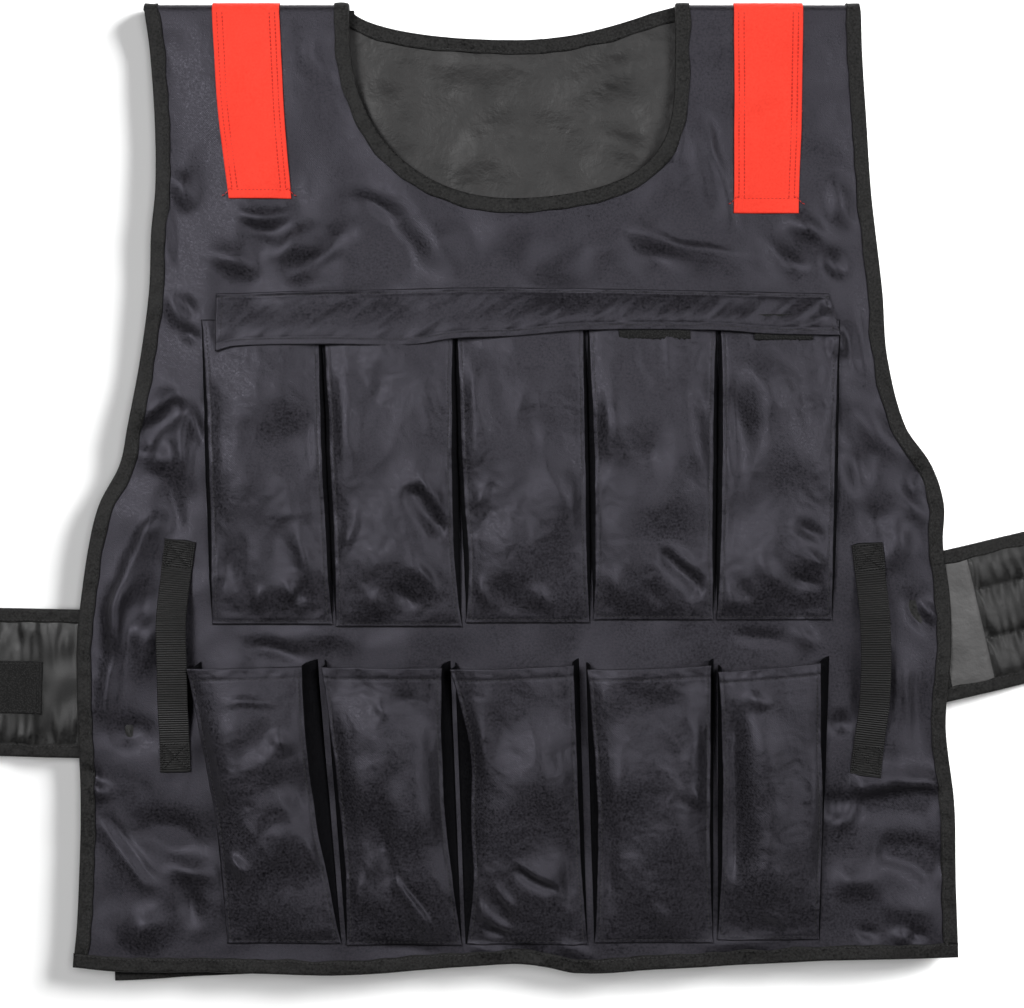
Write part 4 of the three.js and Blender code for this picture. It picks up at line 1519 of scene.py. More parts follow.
# down is a share of the pocket's length; edge and puff are the heights of its side seams and of
# the bulge between them in millimetres.
UPPER_SWELL = np.array([
    (0.0, 2.0, 1.6), (0.12, 3.4, 3.2), (0.3, 4.8, 4.8), (0.55, 5.4, 5.2), (0.78, 4.6, 4.4), (0.92, 2.2, 2.4),
    (1.0, 0.0, 0.0),
])
LOWER_SWELL = np.array([
    (0.0, 11.0, 3.5), (0.15, 10.0, 6.0), (0.35, 8.0, 8.6), (0.6, 5.6, 8.6), (0.8, 3.4, 6.0), (0.93, 1.6, 2.4),
    (1.0, 0.0, 0.0),
])
FLANGE = 2.1

# Each pocket's folds, in the vest's frame.
UPPER_FOLDS = (
    lay_folds(  # bright left, hollow low in the middle, gathers over the seam
        (-188, 96, -184, -20, 2.2, 12, 16, 2), (-166, -10, -150, -72, -3.4, 13, 13, 3),
        (-150, 60, -146, -10, -1.8, 12, 12), (-176, -30, -198, -78, -1.6, 7, 7),
        (-152, -58, -138, -90, 2.2, 4, 6), (-166, -62, -172, -90, 1.8, 5, 5),
        (-134, -60, -150, -90, -2, 4, 4), (-142, -20, -130, -80, 1.8, 6, 6),
    ),
    lay_folds(
        (-112, 90, -104, -10, 2.4, 7, 12, -3), (-104, -8, -119, -60, 2, 4, 7, 2),
        (-84, 96, -96, 20, -1.6, 10, 10), (-70, 0, -44, -34, -3.4, 5, 7, 0, 0.25),
        (-64, 8, -40, -24, 2, 5, 4), (-70, -40, -44, -78, 2.2, 4, 7, -3),
        (-82, -66, -58, -82, -2.6, 4, 5), (-104, -66, -80, -88, 1.8, 6, 6), (-58, 80, -50, 20, 1.4, 10, 8),
    ),
    lay_folds(
        (-26, 92, -14, 10, 2, 7, 12, -3), (-14, 10, -26, -30, 1.8, 4, 8), (18, 80, 6, -40, -1.6, 14, 14),
        (30, 40, 40, -60, 1.6, 10, 10), (-10, -60, 4, -86, -1.8, 6, 6), (14, -62, 22, -88, 1.6, 6, 6),
        (-24, -58, -14, -84, 1.6, 4, 6),
    ),
    lay_folds(
        (64, 92, 70, 0, 1.8, 8, 12), (98, -42, 131, -76, -3, 5, 7, 0, 0.25),
        (96, -34, 128, -66, 1.8, 5, 4), (88, 70, 96, -20, -1.4, 12, 12), (118, 84, 122, 0, 1.8, 9, 9),
        (66, -50, 78, -86, 1.6, 7, 7), (92, -62, 100, -86, -1.6, 6, 6),
    ),
    lay_folds(
        (151, 96, 150, -10, -2.8, 8, 9), (172, 92, 168, 0, 2.2, 10, 12), (196, 90, 196, 10, -1.2, 10, 8),
        (184, -22, 210, -38, -2.4, 4, 5), (188, -40, 212, -58, 2.2, 4, 5), (182, -56, 210, -72, -2.2, 4, 5),
        (160, -40, 180, -76, 1.8, 7, 7), (146, -56, 158, -84, -1.8, 6, 6),
    ),
)
LOWER_FOLDS = (
    lay_folds(
        (-200, -140, -186, -236, 2.4, 10, 14, 2), (-166, -150, -174, -190, -2.2, 10, 14, 4),
        (-158, -160, -146, -180, 2, 6, 8), (-178, -176, -146, -186, 1.4, 9, 9),
        (-158, -196, -148, -226, 2.4, 8, 9), (-190, -244, -176, -262, 2.4, 4, 5),
        (-160, -226, -150, -290, -2.8, 18, 20), (-150, -196, -168, -250, -1.6, 8, 6),
        (-196, -146, -150, -142, 1.2, 3, 3), (-134, -230, -126, -262, 1.8, 5, 4),
    ),
    lay_folds(
        (-108, -140, -100, -240, 2, 9, 13), (-86, -176, -84, -290, -2.8, 8, 11),
        (-62, -150, -58, -250, 2, 12, 10), (-80, -258, -52, -296, 1.8, 2.5, 6, 0, 0.25),
        (-76, -262, -52, -292, -1.6, 5, 2.5), (-88, -136, -84, -160, 1.2, 5, 5),
        (-72, -134, -70, -152, -1.2, 5, 5), (-108, -250, -96, -290, 1.6, 6, 6),
    ),
    lay_folds(
        (-28, -134, -12, -220, 2.2, 7, 11), (-14, -136, 4, -200, -1.8, 8, 9),
        (14, -140, 26, -230, 2, 11, 11), (0, -252, 30, -272, -2.2, 3, 5, 0, 0.25),
        (0, -246, 34, -268, 1.8, 5, 3), (-26, -276, 8, -300, 2.4, 4, 5, -3),
        (-24, -284, 4, -302, -2.4, 4, 4, -3), (-14, -262, 6, -292, 2.2, 4, 4),
        (-30, -262, -16, -300, 1.8, 4, 5), (34, -236, 42, -290, -1.8, 8, 5),
    ),
    lay_folds(
        (62, -132, 112, -170, -2.8, 12, 18, 8), (66, -150, 70, -250, 1.6, 8, 12),
        (118, -140, 124, -220, 2.2, 9, 8), (106, -176, 112, -260, 1.6, 12, 12),
        (60, -236, 66, -290, -2.6, 8, 10), (116, -196, 130, -216, 1.8, 3, 5),
        (84, -276, 112, -292, 1.4, 5, 6),
    ),
    lay_folds(
        (146, -140, 146, -270, -3.4, 9, 12, 0, 0.2), (166, -150, 170, -280, 2.4, 10, 14, 0, 0.2),
        (192, -150, 190, -260, -1.2, 8, 8), (200, -190, 204, -240, 1.8, 5, 4),
        (156, -134, 170, -150, 1.8, 5, 6), (160, -280, 190, -292, 1.4, 6, 5),
    ),
)


# How far a pocket's stitches lie in from its seams, and from its mouth.
STITCH_IN = 2.4
POCKET_HEM = 7.2


@dataclass
class Pocket:
    """A pocket: a face on two gussets, sewn down at its sides and bottom, open at the top.

    Attributes:
        name: the solid that it stands for.
        cut: its outline.
        swell: the heights of its side seams and its bulge down its length.
        mouth_y: where its mouth is.
        relief: its folds.
        surface: the front panel's upper face.
        hemmed: whether its mouth has a stitched hem.
        rows: rows of points down it.
        columns: points across its face.
        wall_columns: points up a gusset.
        tuck: how far its edges are drawn in halfway down.
        pleats: how far a plain and a hemmed one's gussets fold in, or out below 0,
            as shares of their height.
    """

    name: str
    cut: PocketCut
    swell: Array
    mouth_y: float
    relief: Relief
    surface: FrontSurface
    hemmed: bool
    rows: int = 170
    columns: int = 74
    wall_columns: int = 8
    tuck: float = 2.2
    pleats: tuple[float, float] = (-0.4, 0.14)

    def lines(self, down: Array) -> tuple[Array, ...]:
        """The sewn lines and the face's edges.

        Args:
            down: shares of the length.

        Returns:
            x on the left sewn line, the face's left and right edges, and the right sewn line.
        """
        first, last, low_first, low_last = self.cut.sewn
        edges = np.array(self.cut.edges)
        at = down * self.cut.length
        wobble = 0.45 * soft_noise(at, 0 * at + first, 26, 7) + 0.2 * soft_noise(at, 0 * at + last, 9, 8)
        tuck = self.tuck * np.sin(math.pi * down) ** 0.6
        left = read_table(edges, 1, down) + wobble + tuck
        right = read_table(edges, 2, down) + 0.8 * wobble - tuck
        return first + (low_first - first) * down, left, right, last + (low_last - last) * down

    def face(self) -> Array:
        """The face.

        Its height over the panel is that of its side seams, with a bulge between the stitch
        lines that lie a flange's width inside them, its folds, a groove along each stitch line,
        and a hem along a lower pocket's mouth.

        Returns:
            A (rows, columns, 3) grid from the mouth down.
        """
        down = np.linspace(0, 1, self.rows)[:, None]
        share = (1 - np.cos(np.linspace(0, math.pi, self.columns))) / 2
        share = (0.35 * share + 0.65 * np.linspace(0, 1, self.columns))[None, :]
        _, left, right, _ = self.lines(down)
        x = left + (right - left) * share
        length = self.cut.length
        y = self.mouth_y + self.cut.skew * (share - 0.5) * (1 - down) - down * length
        from_side = np.minimum(x - left, right - x)
        from_mouth, from_end = down * length + 0 * x, (1 - down) * length + 0 * x
        inner = np.clip((x - left - FLANGE) / (right - left - 2 * FLANGE), 0, 1)
        edge = read_table(self.swell, 1, down)
        puff = read_table(self.swell, 2, down) * (1 - (2 * inner - 1) ** 2)
        calm = smooth((from_side - 1.5) / 8) * smooth((from_end - 1.0) / 10)
        folds = self.relief.height(x, y) * (0.2 + 0.8 * calm) * smooth(from_side / FLANGE)
        pucker = 0.35 * soft_noise(x * 0.7, y, 5.5, self.relief.seed + 3)
        rim = (pucker - 0.5) * smooth(1 - from_side / FLANGE) - 0.25 * bell(from_side - STITCH_IN, GROOVE)
        seam = pucker * smooth(1 - from_end / FLANGE) - 0.25 * bell(from_end - STITCH_IN, GROOVE)
        base = self.surface.top(x, y) + SEAM_GAP + CLOTH
        lift = edge + puff + folds * smooth((edge + puff) / 2) + rim + seam
        if self.hemmed:
            lift = lift + 0.2 * smooth(POCKET_HEM + 0.3 - from_mouth)
            lift = lift - 0.35 * bell(from_mouth - POCKET_HEM, GROOVE) + pucker * bell(from_mouth - 4, 5)
        return np.stack([x, y, base + np.maximum(lift, 0.05)], axis=2)

    def gusset(self, face: Array, side: int) -> Array:
        """A side wall from its sewn line up to the face's edge, with a soft pleat in it.

        A lower pocket's sewn line starts higher than its mouth, so the wall ends in a peak.

        Args:
            face: the face's grid.
            side: -1 for the left wall, 1 for the right.

        Returns:
            A (rows, places, 3) grid from the sewn line up, without the face's own edge.
        """
        down = np.linspace(0, 1, self.rows)
        sewn_left, _, _, sewn_right = self.lines(down)
        sewn = sewn_left if side < 0 else sewn_right
        edge = face[:, 0 if side < 0 else -1]
        peak = 4.0 * np.clip(1 - down / 0.06, 0, 1) ** 1.3 if self.hemmed else 0 * down
        y = edge[:, 1] + peak
        low = np.stack([sewn, y, self.surface.top(sewn, y) + SEAM_GAP], axis=1)
        climb = np.linspace(0, 1, self.wall_columns)[:, None, None]
        wall = low[None] * (1 - climb) + edge[None] * climb
        pleat = self.pleats[self.hemmed] * (edge[:, 2] - low[:, 2])
        wall[..., 0] -= side * pleat[None, :] * np.sin(math.pi * climb[..., 0])
        return wall[:-1].transpose(1, 0, 2)

    def build(self, wardrobe: Wardrobe, threads: Stitches) -> None:
        """Makes the pocket.

        Args:
            wardrobe: the finishes.
            threads: gathers the stitches.
        """
        face = self.face()
        right = self.gusset(face, 1)[:, ::-1]
        grid = np.concatenate([self.gusset(face, -1), face, right], axis=1)
        piece = sheet_piece(self.name + "_cloth", grid)
        give_wall(piece, 0.9)
        wardrobe.dress(piece, "cloth", Slot.CLOTH, self.name)
        # The gusset faces take the darker, matt finish: painted shade in the gaps between the pockets.
        column = np.arange(grid.shape[1] - 1)
        on_side = (column < self.wall_columns - 1) | (column >= grid.shape[1] - self.wall_columns)
        wardrobe.inset(piece, "gusset", np.tile(on_side, (self.rows - 1, 1)))
        self.sew(face, threads)

    def sew(self, face: Array, threads: Stitches) -> None:
        """Adds stitches inside both side seams, over the bottom seam and along the hem.

        Args:
            face: the face's grid.
            threads: gathers the stitches.
        """
        for column, step in ((0, STITCH_IN), (-1, -STITCH_IN)):
            along = face[:, column, 0] + step
            row = [np.interp(x, line[:, 0], line[:, 2]) for x, line in zip(along, face)]
            threads.add(np.stack([along, face[:, 0, 1], np.array(row)], axis=1)[4:-3])
        shares = (1 - STITCH_IN / self.cut.length, POCKET_HEM / self.cut.length)
        for share in shares if self.hemmed else shares[:1]:
            threads.add(face[int(round(share * (self.rows - 1))), 3:-3])


FLAP_TOP = np.array([(-197.0, 127.5), (-100.0, 130.0), (0.0, 131.5), (100.0, 130.0), (211.5, 127.5)])
FLAP_LOW = np.array([
    (-197.0, 88.5), (-184.5, 91.8), (-124.0, 93.2), (-69.0, 92.6), (-36.0, 97.2),
    (0.0, 98.5), (48.0, 102.6), (134.6, 102.6), (174.0, 100.0), (218.4, 99.3),
])
MOUTH_TOP = FRONT_TOP + SEAM_GAP + CLOTH + 4.4


@dataclass
class PocketFront(SewnParts):
    """The two rows of pockets, the flap over the upper row and its fastener strips.

    Attributes:
        left: x of the flap's left end.
        right: x of its right end, at its free edge.
        strip_height: how much of a fastener strip is made.
    """

    left: float = -197.0
    right: float = 218.0
    strip_height: float = 17.0

    def pockets(self) -> None:
        """Makes the ten pockets with their stitches; the lower row's have stitched hems."""
        threads = Stitches(pitch=2.8, radius=0.24)
        for word, cuts, swell, mouth_y, folds, seed, gain in (
            ("upper", UPPER_CUTS, UPPER_SWELL, UPPER_MOUTH_Y, UPPER_FOLDS, 100, 1.35),
            ("lower", LOWER_CUTS, LOWER_SWELL, LOWER_MOUTH_Y, LOWER_FOLDS, 200, 1.5),
        ):
            for i, (cut, placed) in enumerate(zip(cuts, folds)):
                relief = Relief(placed, 2.2, 0.45, seed + 5 * i, gain)
                name = f"{word}_pocket_{i + 1}"
                pocket = Pocket(name, cut, swell, mouth_y, relief, self.surface, word == "lower")
                pocket.build(self.wardrobe, threads)
        self.wardrobe.dress(threads.build("pocket_stitches"), "thread", Slot.CLOTH)

    def flap_grid(self) -> Array:
        """The flap: up from its sewn line, over the pockets' mouths, with slanted gathers.

        Its height is a soft step from the front's to the mouths', with gathers, a pinch at its
        right end, grooves along its stitches, a raised hem and a sag towards its free edge.

        Returns:
            A (rows, places, 3) grid from the sewn line to the free edge.
        """
        step = np.linspace(0, 1, 44)[:, None]
        x = np.linspace(self.left, self.right, 330)[None, :]
        x = x - 7.0 * smooth((x - 205) / 13) * (1 - step)
        top, low = read_table(FLAP_TOP, 1, x), read_table(FLAP_LOW, 1, x)
        y = top + (low - top) * step
        rise = smooth(step / 0.8) ** 0.8
        sewn = self.surface.top(x, y) + SEAM_GAP + CLOTH
        over = MOUTH_TOP + TAPE + 2 * SEAM_GAP + CLOTH
        slant = x - 1.1 * y
        gathers = 1.1 * soft_noise(slant, y * 0.3, 15, 301) + 0.6 * soft_noise(slant, y * 0.5, 8, 302)
        gathers = gathers * np.sin(math.pi * step) ** 0.8
        pinch = Fold((206, 124), (214, 112), -2.4, 3, 4).height(x, y)
        from_seam, from_edge = step * (top - low), (1 - step) * (top - low)
        hem = 0.3 * smooth(5.0 - from_edge) - 0.3 * bell(from_edge - 4.6, GROOVE)
        seam = 0.45 * bell(from_seam - 0.8, 0.9) - 0.35 * bell(from_seam - 3.0, 0.9)
        sag = -0.8 * smooth((step - 0.6) / 0.4) * (0.5 + 0.5 * soft_noise(x, 0 * y, 40, 303))
        z = sewn * (1 - rise) + over * rise + gathers + pinch + hem + seam + sag
        return np.stack([x, y, z], axis=2)

    def flap(self) -> None:
        """Makes the flap, its seams' stitches and the strips that peek out under it."""
        grid = self.flap_grid()
        piece = sheet_piece("pocket_flap_cloth", grid)
        give_wall(piece, 1.0)
        self.wardrobe.dress(piece, "cloth", Slot.CLOTH, "pocket_flap")
        threads = Stitches(pitch=2.6, radius=0.24)
        for row in (grid[3], grid[38], grid[2:38, 3], grid[2:38, -4]):
            threads.add(row)
        self.wardrobe.dress(threads.build("flap_stitches"), "thread", Slot.CLOTH)
        self.strip("flap_fastener_left", 71.0, 118.5, 96.8)
        self.strip("flap_fastener_right", 161.0, 200.0, 96.3)

    def strip(self, name: str, start: float, end: float, low: float) -> None:
        """Makes one fastener strip with a fuzzy lower edge.

        Args:
            name: the solid that it stands for.
            start: x of its left end.
            end: x of its right end.
            low: y of its lower edge.
        """
        y = np.linspace(low + self.strip_height, low, 16)[:, None]
        x = np.linspace(start, end, 60)[None, :]
        fringe = 1.1 * soft_noise(x, 0 * y, 1.6, len(name)) * smooth((low + 4 - y) / 4)
        z = MOUTH_TOP + SEAM_GAP + TAPE + 0.15 * soft_noise(x, y, 2, 9) - 0.5 * smooth((low + 3 - y) / 3)
        piece = sheet_piece(name + "_pile", as_grid(x, y + fringe, z))
        give_wall(piece, 0.9)
        self.wardrobe.dress(piece, "pile", Slot.PILE, name)


@dataclass
class ShoulderStrips(SewnParts):
    """The two red strips that go over the shoulders, with two rows of stitches down each side.

    Attributes:
        width: a strip's flat width.
        seams: how far in from each side its rows of stitches lie.
    """

    width: float = 44.0
    seams: tuple[float, float] = (3.0, 6.6)

    def build(self) -> None:
        """Makes both strips."""
        threads = Stitches(pitch=2.6, radius=0.27)
        left = ((316, -200, -155.3), (250, -196, -152), (191, -188.7, -147.3))
        right = ((316, 148, 194), (250, 148.3, 193), (181, 148, 190.7))
        self.strip("shoulder_strip_left", left, 6.0, threads)
        self.strip("shoulder_strip_right", right, 9.5, threads)
        self.wardrobe.dress(threads.build("strip_stitches"), "red_thread", Slot.RED)

    def strip(self, name: str, sides: tuple, cut: float, threads: Stitches) -> None:
        """Makes one strip from its side lines, and adds its stitches.

        Args:
            name: the solid that it stands for.
            sides: rows of (y, left, right) from the top down to where it ends.
            cut: how far its bottom stitches lie above its end.
            threads: gathers the stitches.
        """
        table = np.array(sides[::-1], float)
        low = sides[-1][0]
        y = np.linspace(ROLL_LINE_Y, low, 110)[:, None]
        share = np.linspace(0, 1, 40)[None, :]
        left, right = read_table(table, 1, y), read_table(table, 2, y)
        x = left + (right - left) * share
        lift = SEAM_GAP + TAPE
        side = np.minimum(x - left, right - x)
        grooves = 0.28 * sum(bell(side - seam, GROOVE) for seam in self.seams)
        grooves = grooves + 0.25 * bell(y - low - cut, 0.9)
        relief = 0.2 * bell(side, GROOVE) + 0.6 * soft_noise(x, y, 22, len(name)) - grooves
        flat = as_grid(x, y, self.surface.top(x, y) + lift + relief * smooth((ROLL_LINE_Y - y) / 6))
        piece = sheet_piece(name + "_cloth", np.concatenate([over_roll(x[0], lift), flat]))
        give_wall(piece, 0.9)
        self.wardrobe.dress(piece, "red", Slot.RED, name)
        for seam in self.seams:
            for column, step in ((0, seam), (-1, -seam)):
                path = flat[:-3, column].copy()
                path[:, 0] += step
                path[:, 2] = self.surface.top(path[:, 0], path[:, 1]) + lift
                threads.add(path[path[:, 1] > low + cut])
        row = flat[np.argmin(np.abs(y[:, 0] - low - cut)), 3:-3]
        threads.add(row)
        for way, start in ((-1, row[0]), (1, row[-1])):
            threads.add(self.loose_end(start, way))

    def loose_end(self, start: Array, way: int) -> Array:
        """A stray thread that curls off the end of the bottom stitches, along a sine.

        Args:
            start: where it leaves them.
            way: -1 if it goes to the left, 1 to the right.

        Returns:
            (n, 3) places.
        """
        t = np.linspace(0, 1, 24)
        x = start[0] + way * (3.0 * t + 4.5 * t * t)
        y = start[1] + 2.2 * np.sin(5.0 * t) - 2.0 * t
        return np.stack([x, y, self.surface.top(x, y) + SEAM_GAP + TAPE], axis=1)


@dataclass
class Handles(SewnParts):
    """The two webbing handles: sewn flat at both ends with a boxed cross, raised between.

    Attributes:
        width: the webbing's width.
        rise: how high its middle stands.
        lies: how far the webbing's upper face lies over the seam.
        sewn: the share of its length that is sewn down at each end.
        box: the middle, half length and inset of an end's boxed cross.
    """

    width: float = 20.0
    rise: float = 8.0
    lies: float = 1.5
    sewn: float = 0.125
    box: tuple[float, float, float] = (9.5, 8.0, 2.2)

    def build(self) -> None:
        """Makes both handles."""
        threads = Stitches(pitch=2.2, radius=0.34)
        left = ((-191, -224.2), (-157, -225.0), (-120, -225.6), (-88, -225.8), (-60, -224.0), (-37, -221.0))
        right = ((-193, 235.0), (-170, 238.0), (-140, 240.8), (-105, 241.2), (-70, 239.5), (-39, 236.5))
        self.handle("handle_left", left, threads)
        self.handle("handle_right", right, threads)
        self.wardrobe.dress(threads.build("handle_stitches"), "thread", Slot.WEBBING)

    def handle(self, name: str, line: tuple, threads: Stitches) -> None:
        """Makes one handle and its boxed crosses.

        Args:
            name: the solid that it stands for.
            line: rows of (y, x) along its middle, from its lower end up.
            threads: gathers the stitches.
        """
        table = np.array(line, float)
        low, high = table[0, 0], table[-1, 0]
        y = np.linspace(high, low, 210)[:, None]
        across = np.linspace(-0.5, 0.5, 25)[None, :] * self.width
        middle = read_table(table, 1, y)
        turn = np.gradient(middle[:, 0], y[:, 0])[:, None]
        x = middle + across
        y = y - turn * across
        down = (high - y) / (high - low)
        free = np.clip((np.minimum(down, 1 - down) - self.sewn) / 0.2, 0, 1)
        base = self.surface.top(x, y) + SEAM_GAP + self.lies
        level = smooth(free * 2)
        z = base.mean(axis=1, keepdims=True) * level + base * (1 - level)
        z = z + smooth(free) * (self.rise + 0.35 * (1 - (across / self.width * 2) ** 2))
        for share in (down, 1 - down):
            z = z - 0.9 * self.pressed(share * (high - low), across)
        grid = as_grid(x, y, z)
        at = along_lengths(grid[:, 12])
        piece = sheet_piece(name + "_webbing", grid, as_grid(across, at[:, None]))
        give_wall(piece, 1.4)
        self.wardrobe.dress(piece, "webbing", Slot.WEBBING, name)
        for start, end in ((0.012, 0.115), (0.885, 0.988)):
            self.cross(grid, start, end, threads)

    def pressed(self, from_end: Array, across: Array) -> Array:
        """Where the stitches of an end's box and cross press the webbing in.

        Args:
            from_end: the distance from the end.
            across: places across the webbing.

        Returns:
            A share from 0 to 1, as a bell of the distance from the nearest stitch.
        """
        middle, half_long, inset = self.box
        half_wide = self.width / 2 - inset
        u, v = np.abs((from_end - middle) / half_long), np.abs(across / half_wide)
        reach = np.maximum(u, v)
        cross = np.abs(u - v) * half_wide * 0.7 + 20 * (reach > 1)
        return bell(np.minimum(np.abs(reach - 1) * half_wide, cross), 1.0)

    def cross(self, grid: Array, start: float, end: float, threads: Stitches) -> None:
        """Adds a stitched box with a cross in it.

        Args:
            grid: the webbing's grid.
            start: the share of the length where it starts.
            end: the share where it ends.
            threads: gathers the stitches.
        """
        a, b = int(start * (len(grid) - 1)), int(end * (len(grid) - 1))
        corners = [grid[a, 2], grid[a, -3], grid[b, -3], grid[b, 2]]
        for i, j in ((0, 1), (1, 2), (2, 3), (3, 0), (0, 2), (1, 3)):
            run = np.linspace(corners[i], corners[j], 12)
            run[:, 2] = self.surface.top(run[:, 0], run[:, 1]) + SEAM_GAP + self.lies
            threads.add(run, 0.05)


@dataclass
class Belt:
    """A side belt, sewn inside the vest and lying out on the floor.

    Attributes:
        name: left or right.
        side: which way it goes, -1 or 1.
        middle: y where its middle line leaves the vest.
        tilt: its turn towards the shoulders, in degrees.
        wardrobe: the finishes.
        width: its width.
        free: its length from the vest's side to its end.
        sewn: how far it reaches in under the front panel.
        edge: its thickness at its edges.
    """

    name: str
    side: int
    middle: float
    tilt: float
    wardrobe: Wardrobe
    width: float = 97.0
    free: float = 180.0
    sewn: float = 45.0
    edge: float = 2.0

    def point(self, share: Array, across: Array) -> tuple[Array, ...]:
        """Its middle surface, which climbs over the back's tape and falls to the floor.

        Args:
            share: shares of the free length.
            across: places across it.

        Returns:
            x, y and z.
        """
        floor = self.edge / 2 + SEAM_GAP + TAPE
        inside = floor + BACK_LEVEL + CLOTH / 2 + SEAM_GAP
        over = inside + TAPE + SEAM_GAP
        climb, fall = smooth((share + 0.24) / 0.11), smooth((share - 0.08) / 0.2)
        level = (inside * (1 - climb) + over * climb) * (1 - fall) + floor * fall
        turn = math.radians(self.tilt)
        start = float(side_x(self.side, self.middle))
        x = start + self.side * (share * self.free * math.cos(turn) - across * math.sin(turn))
        y = self.middle + share * self.free * math.sin(turn) + across * math.cos(turn)
        return x, y, level + 0 * across

    def relief(self, share: Array, across: Array) -> Array:
        """How its upper face swells: padded between its edges, with gathers from both edges.

        Args:
            share: shares of the free length.
            across: places across it.

        Returns:
            The swelling at each place.
        """
        at = share * self.free
        body = 1.6 * (1 - (across / self.width * 2) ** 4)
        ripples = soft_noise(at, across * 0.25, 5.5, 400 + self.side) * np.abs(across / self.width * 2) ** 1.5
        soft = 0.8 * soft_noise(at + across * 0.3, across, 22, 410 + self.side)
        return body + 1.9 * ripples + 1.3 * soft

    def cloth_grid(self, low: float, high: float, rows: int, columns: int = 60) -> Array:
        """The upper face.

        Args:
            low: the share of the length where it starts.
            high: the share where it ends.
            rows: rows of points along it.
            columns: points across it.

        Returns:
            A (rows, columns, 3) grid.
        """
        share = np.linspace(low, high, rows)[:, None]
        across = np.linspace(-0.5, 0.5, columns)[None, :] * self.width
        x, y, level = self.point(share, across)
        rim = self.width / 2 - np.abs(across)
        end = (1 - share) * self.free
        calm = smooth(rim / 14) * smooth(end / 14)
        z = level + self.edge / 2 + self.relief(share, across) * calm
        return np.stack([x, y, z], axis=2)

    def build(self) -> None:
        """Makes the belt's body and its tape."""
        start, rows = -self.sewn / self.free, 190
        top = self.cloth_grid(start, 1.0, rows)
        under = top.copy()
        under[..., 2] = self.point(np.linspace(start, 1.0, rows)[:, None], 0 * top[..., 2])[2] - self.edge / 2
        body = closed_slab(f"belt_{self.name}_cloth", top, under, self.side < 0)
        self.wardrobe.dress(body, "belt", Slot.BELT, f"belt_{self.name}")
        self.bind()

    def bind(self) -> None:
        """Makes the tape round both long edges and the free end, with its stitches."""
        count, end_count, corner = 120, 20, 5.0
        share = np.linspace(-self.sewn / self.free, 1.0, count)[:-4]
        half = self.width / 2
        run = np.concatenate([
            np.stack([share, np.full(count - 4, half)], axis=1),
            self.rounded(half, corner, 1),
            np.stack([np.ones(end_count), np.linspace(half - corner, -half + corner, end_count)], axis=1),
            self.rounded(half, corner, -1),
            np.stack([share, np.full(count - 4, -half)], axis=1)[::-1],
        ])
        edge = even_path(np.stack(self.point(run[:, 0], run[:, 1]), axis=1), 2.0)
        up = np.tile([0.0, 0.0, 1.0], (len(edge), 1))
        maker = EdgeTape(width=8.0, seed=60 + self.side, cloth=self.edge)
        above = np.zeros((len(edge), len(maker.section()[0])))
        name = f"belt_binding_{self.name}"
        piece, row, length = maker.build(name, edge, level_ways(edge, -self.side), up, above)
        self.wardrobe.dress(piece, "tape", Slot.TAPE, name)
        threads = Stitches()
        threads.add(row, 0.05)
        self.wardrobe.dress(threads.build(f"belt_{self.name}_stitches"), "thread", Slot.TAPE)

    def rounded(self, half: float, corner: float, way: int) -> Array:
        """A rounded corner at the free end, as a quarter circle.

        Args:
            half: half the belt's width.
            corner: the circle's radius.
            way: 1 for the upper corner, -1 for the lower one.

        Returns:
            (n, 2) shares along and millimetres across.
        """
        turn = np.linspace(0, math.pi / 2, 7)[1:-1]
        if way < 0:
            turn = turn[::-1]
        along = 1 - corner * (1 - np.sin(turn)) / self.free
        across = way * (half - corner * (1 - np.cos(turn)))
        return np.stack([along, across], axis=1)


@dataclass
class PatchedBelt(Belt):
    """The left belt, with a field of fastener pile on its upper face.

    Attributes:
        patch_start: how far from the vest's side the field starts.
        patch_length: its length.
        patch_width: its width.
        patch_low: how far it lies below the belt's middle.
    """

    patch_start: float = 25.0
    patch_length: float = 100.0
    patch_width: float = 35.0
    patch_low: float = 3.0

    def build(self) -> None:
        """Makes the belt and its patch."""
        super().build()
        share = np.linspace(self.patch_start, self.patch_start + self.patch_length, 80)[:, None] / self.free
        across = np.linspace(-0.5, 0.5, 40)[None, :] * self.patch_width - self.patch_low
        x, y, level = self.point(share, across)
        rough = 0.25 * soft_noise(x, y, 1.4, 77)
        z = level + self.edge / 2 + self.relief(share, across) + 1.0 + rough
        grid = np.stack([x, y, z], axis=2)
        piece = sheet_piece("belt_patch_left_pile", grid, flip=True)
        give_wall(piece, 0.9)
        self.wardrobe.dress(piece, "pile", Slot.PILE, "belt_patch_left")
        threads = Stitches(pitch=2.6)
        for row in (grid[2, 2:-2], grid[-3, 2:-2], grid[2:-2, 2], grid[2:-2, -3]):
            threads.add(row, 0.2)
        self.wardrobe.dress(threads.build("patch_stitches"), "thread", Slot.PILE)


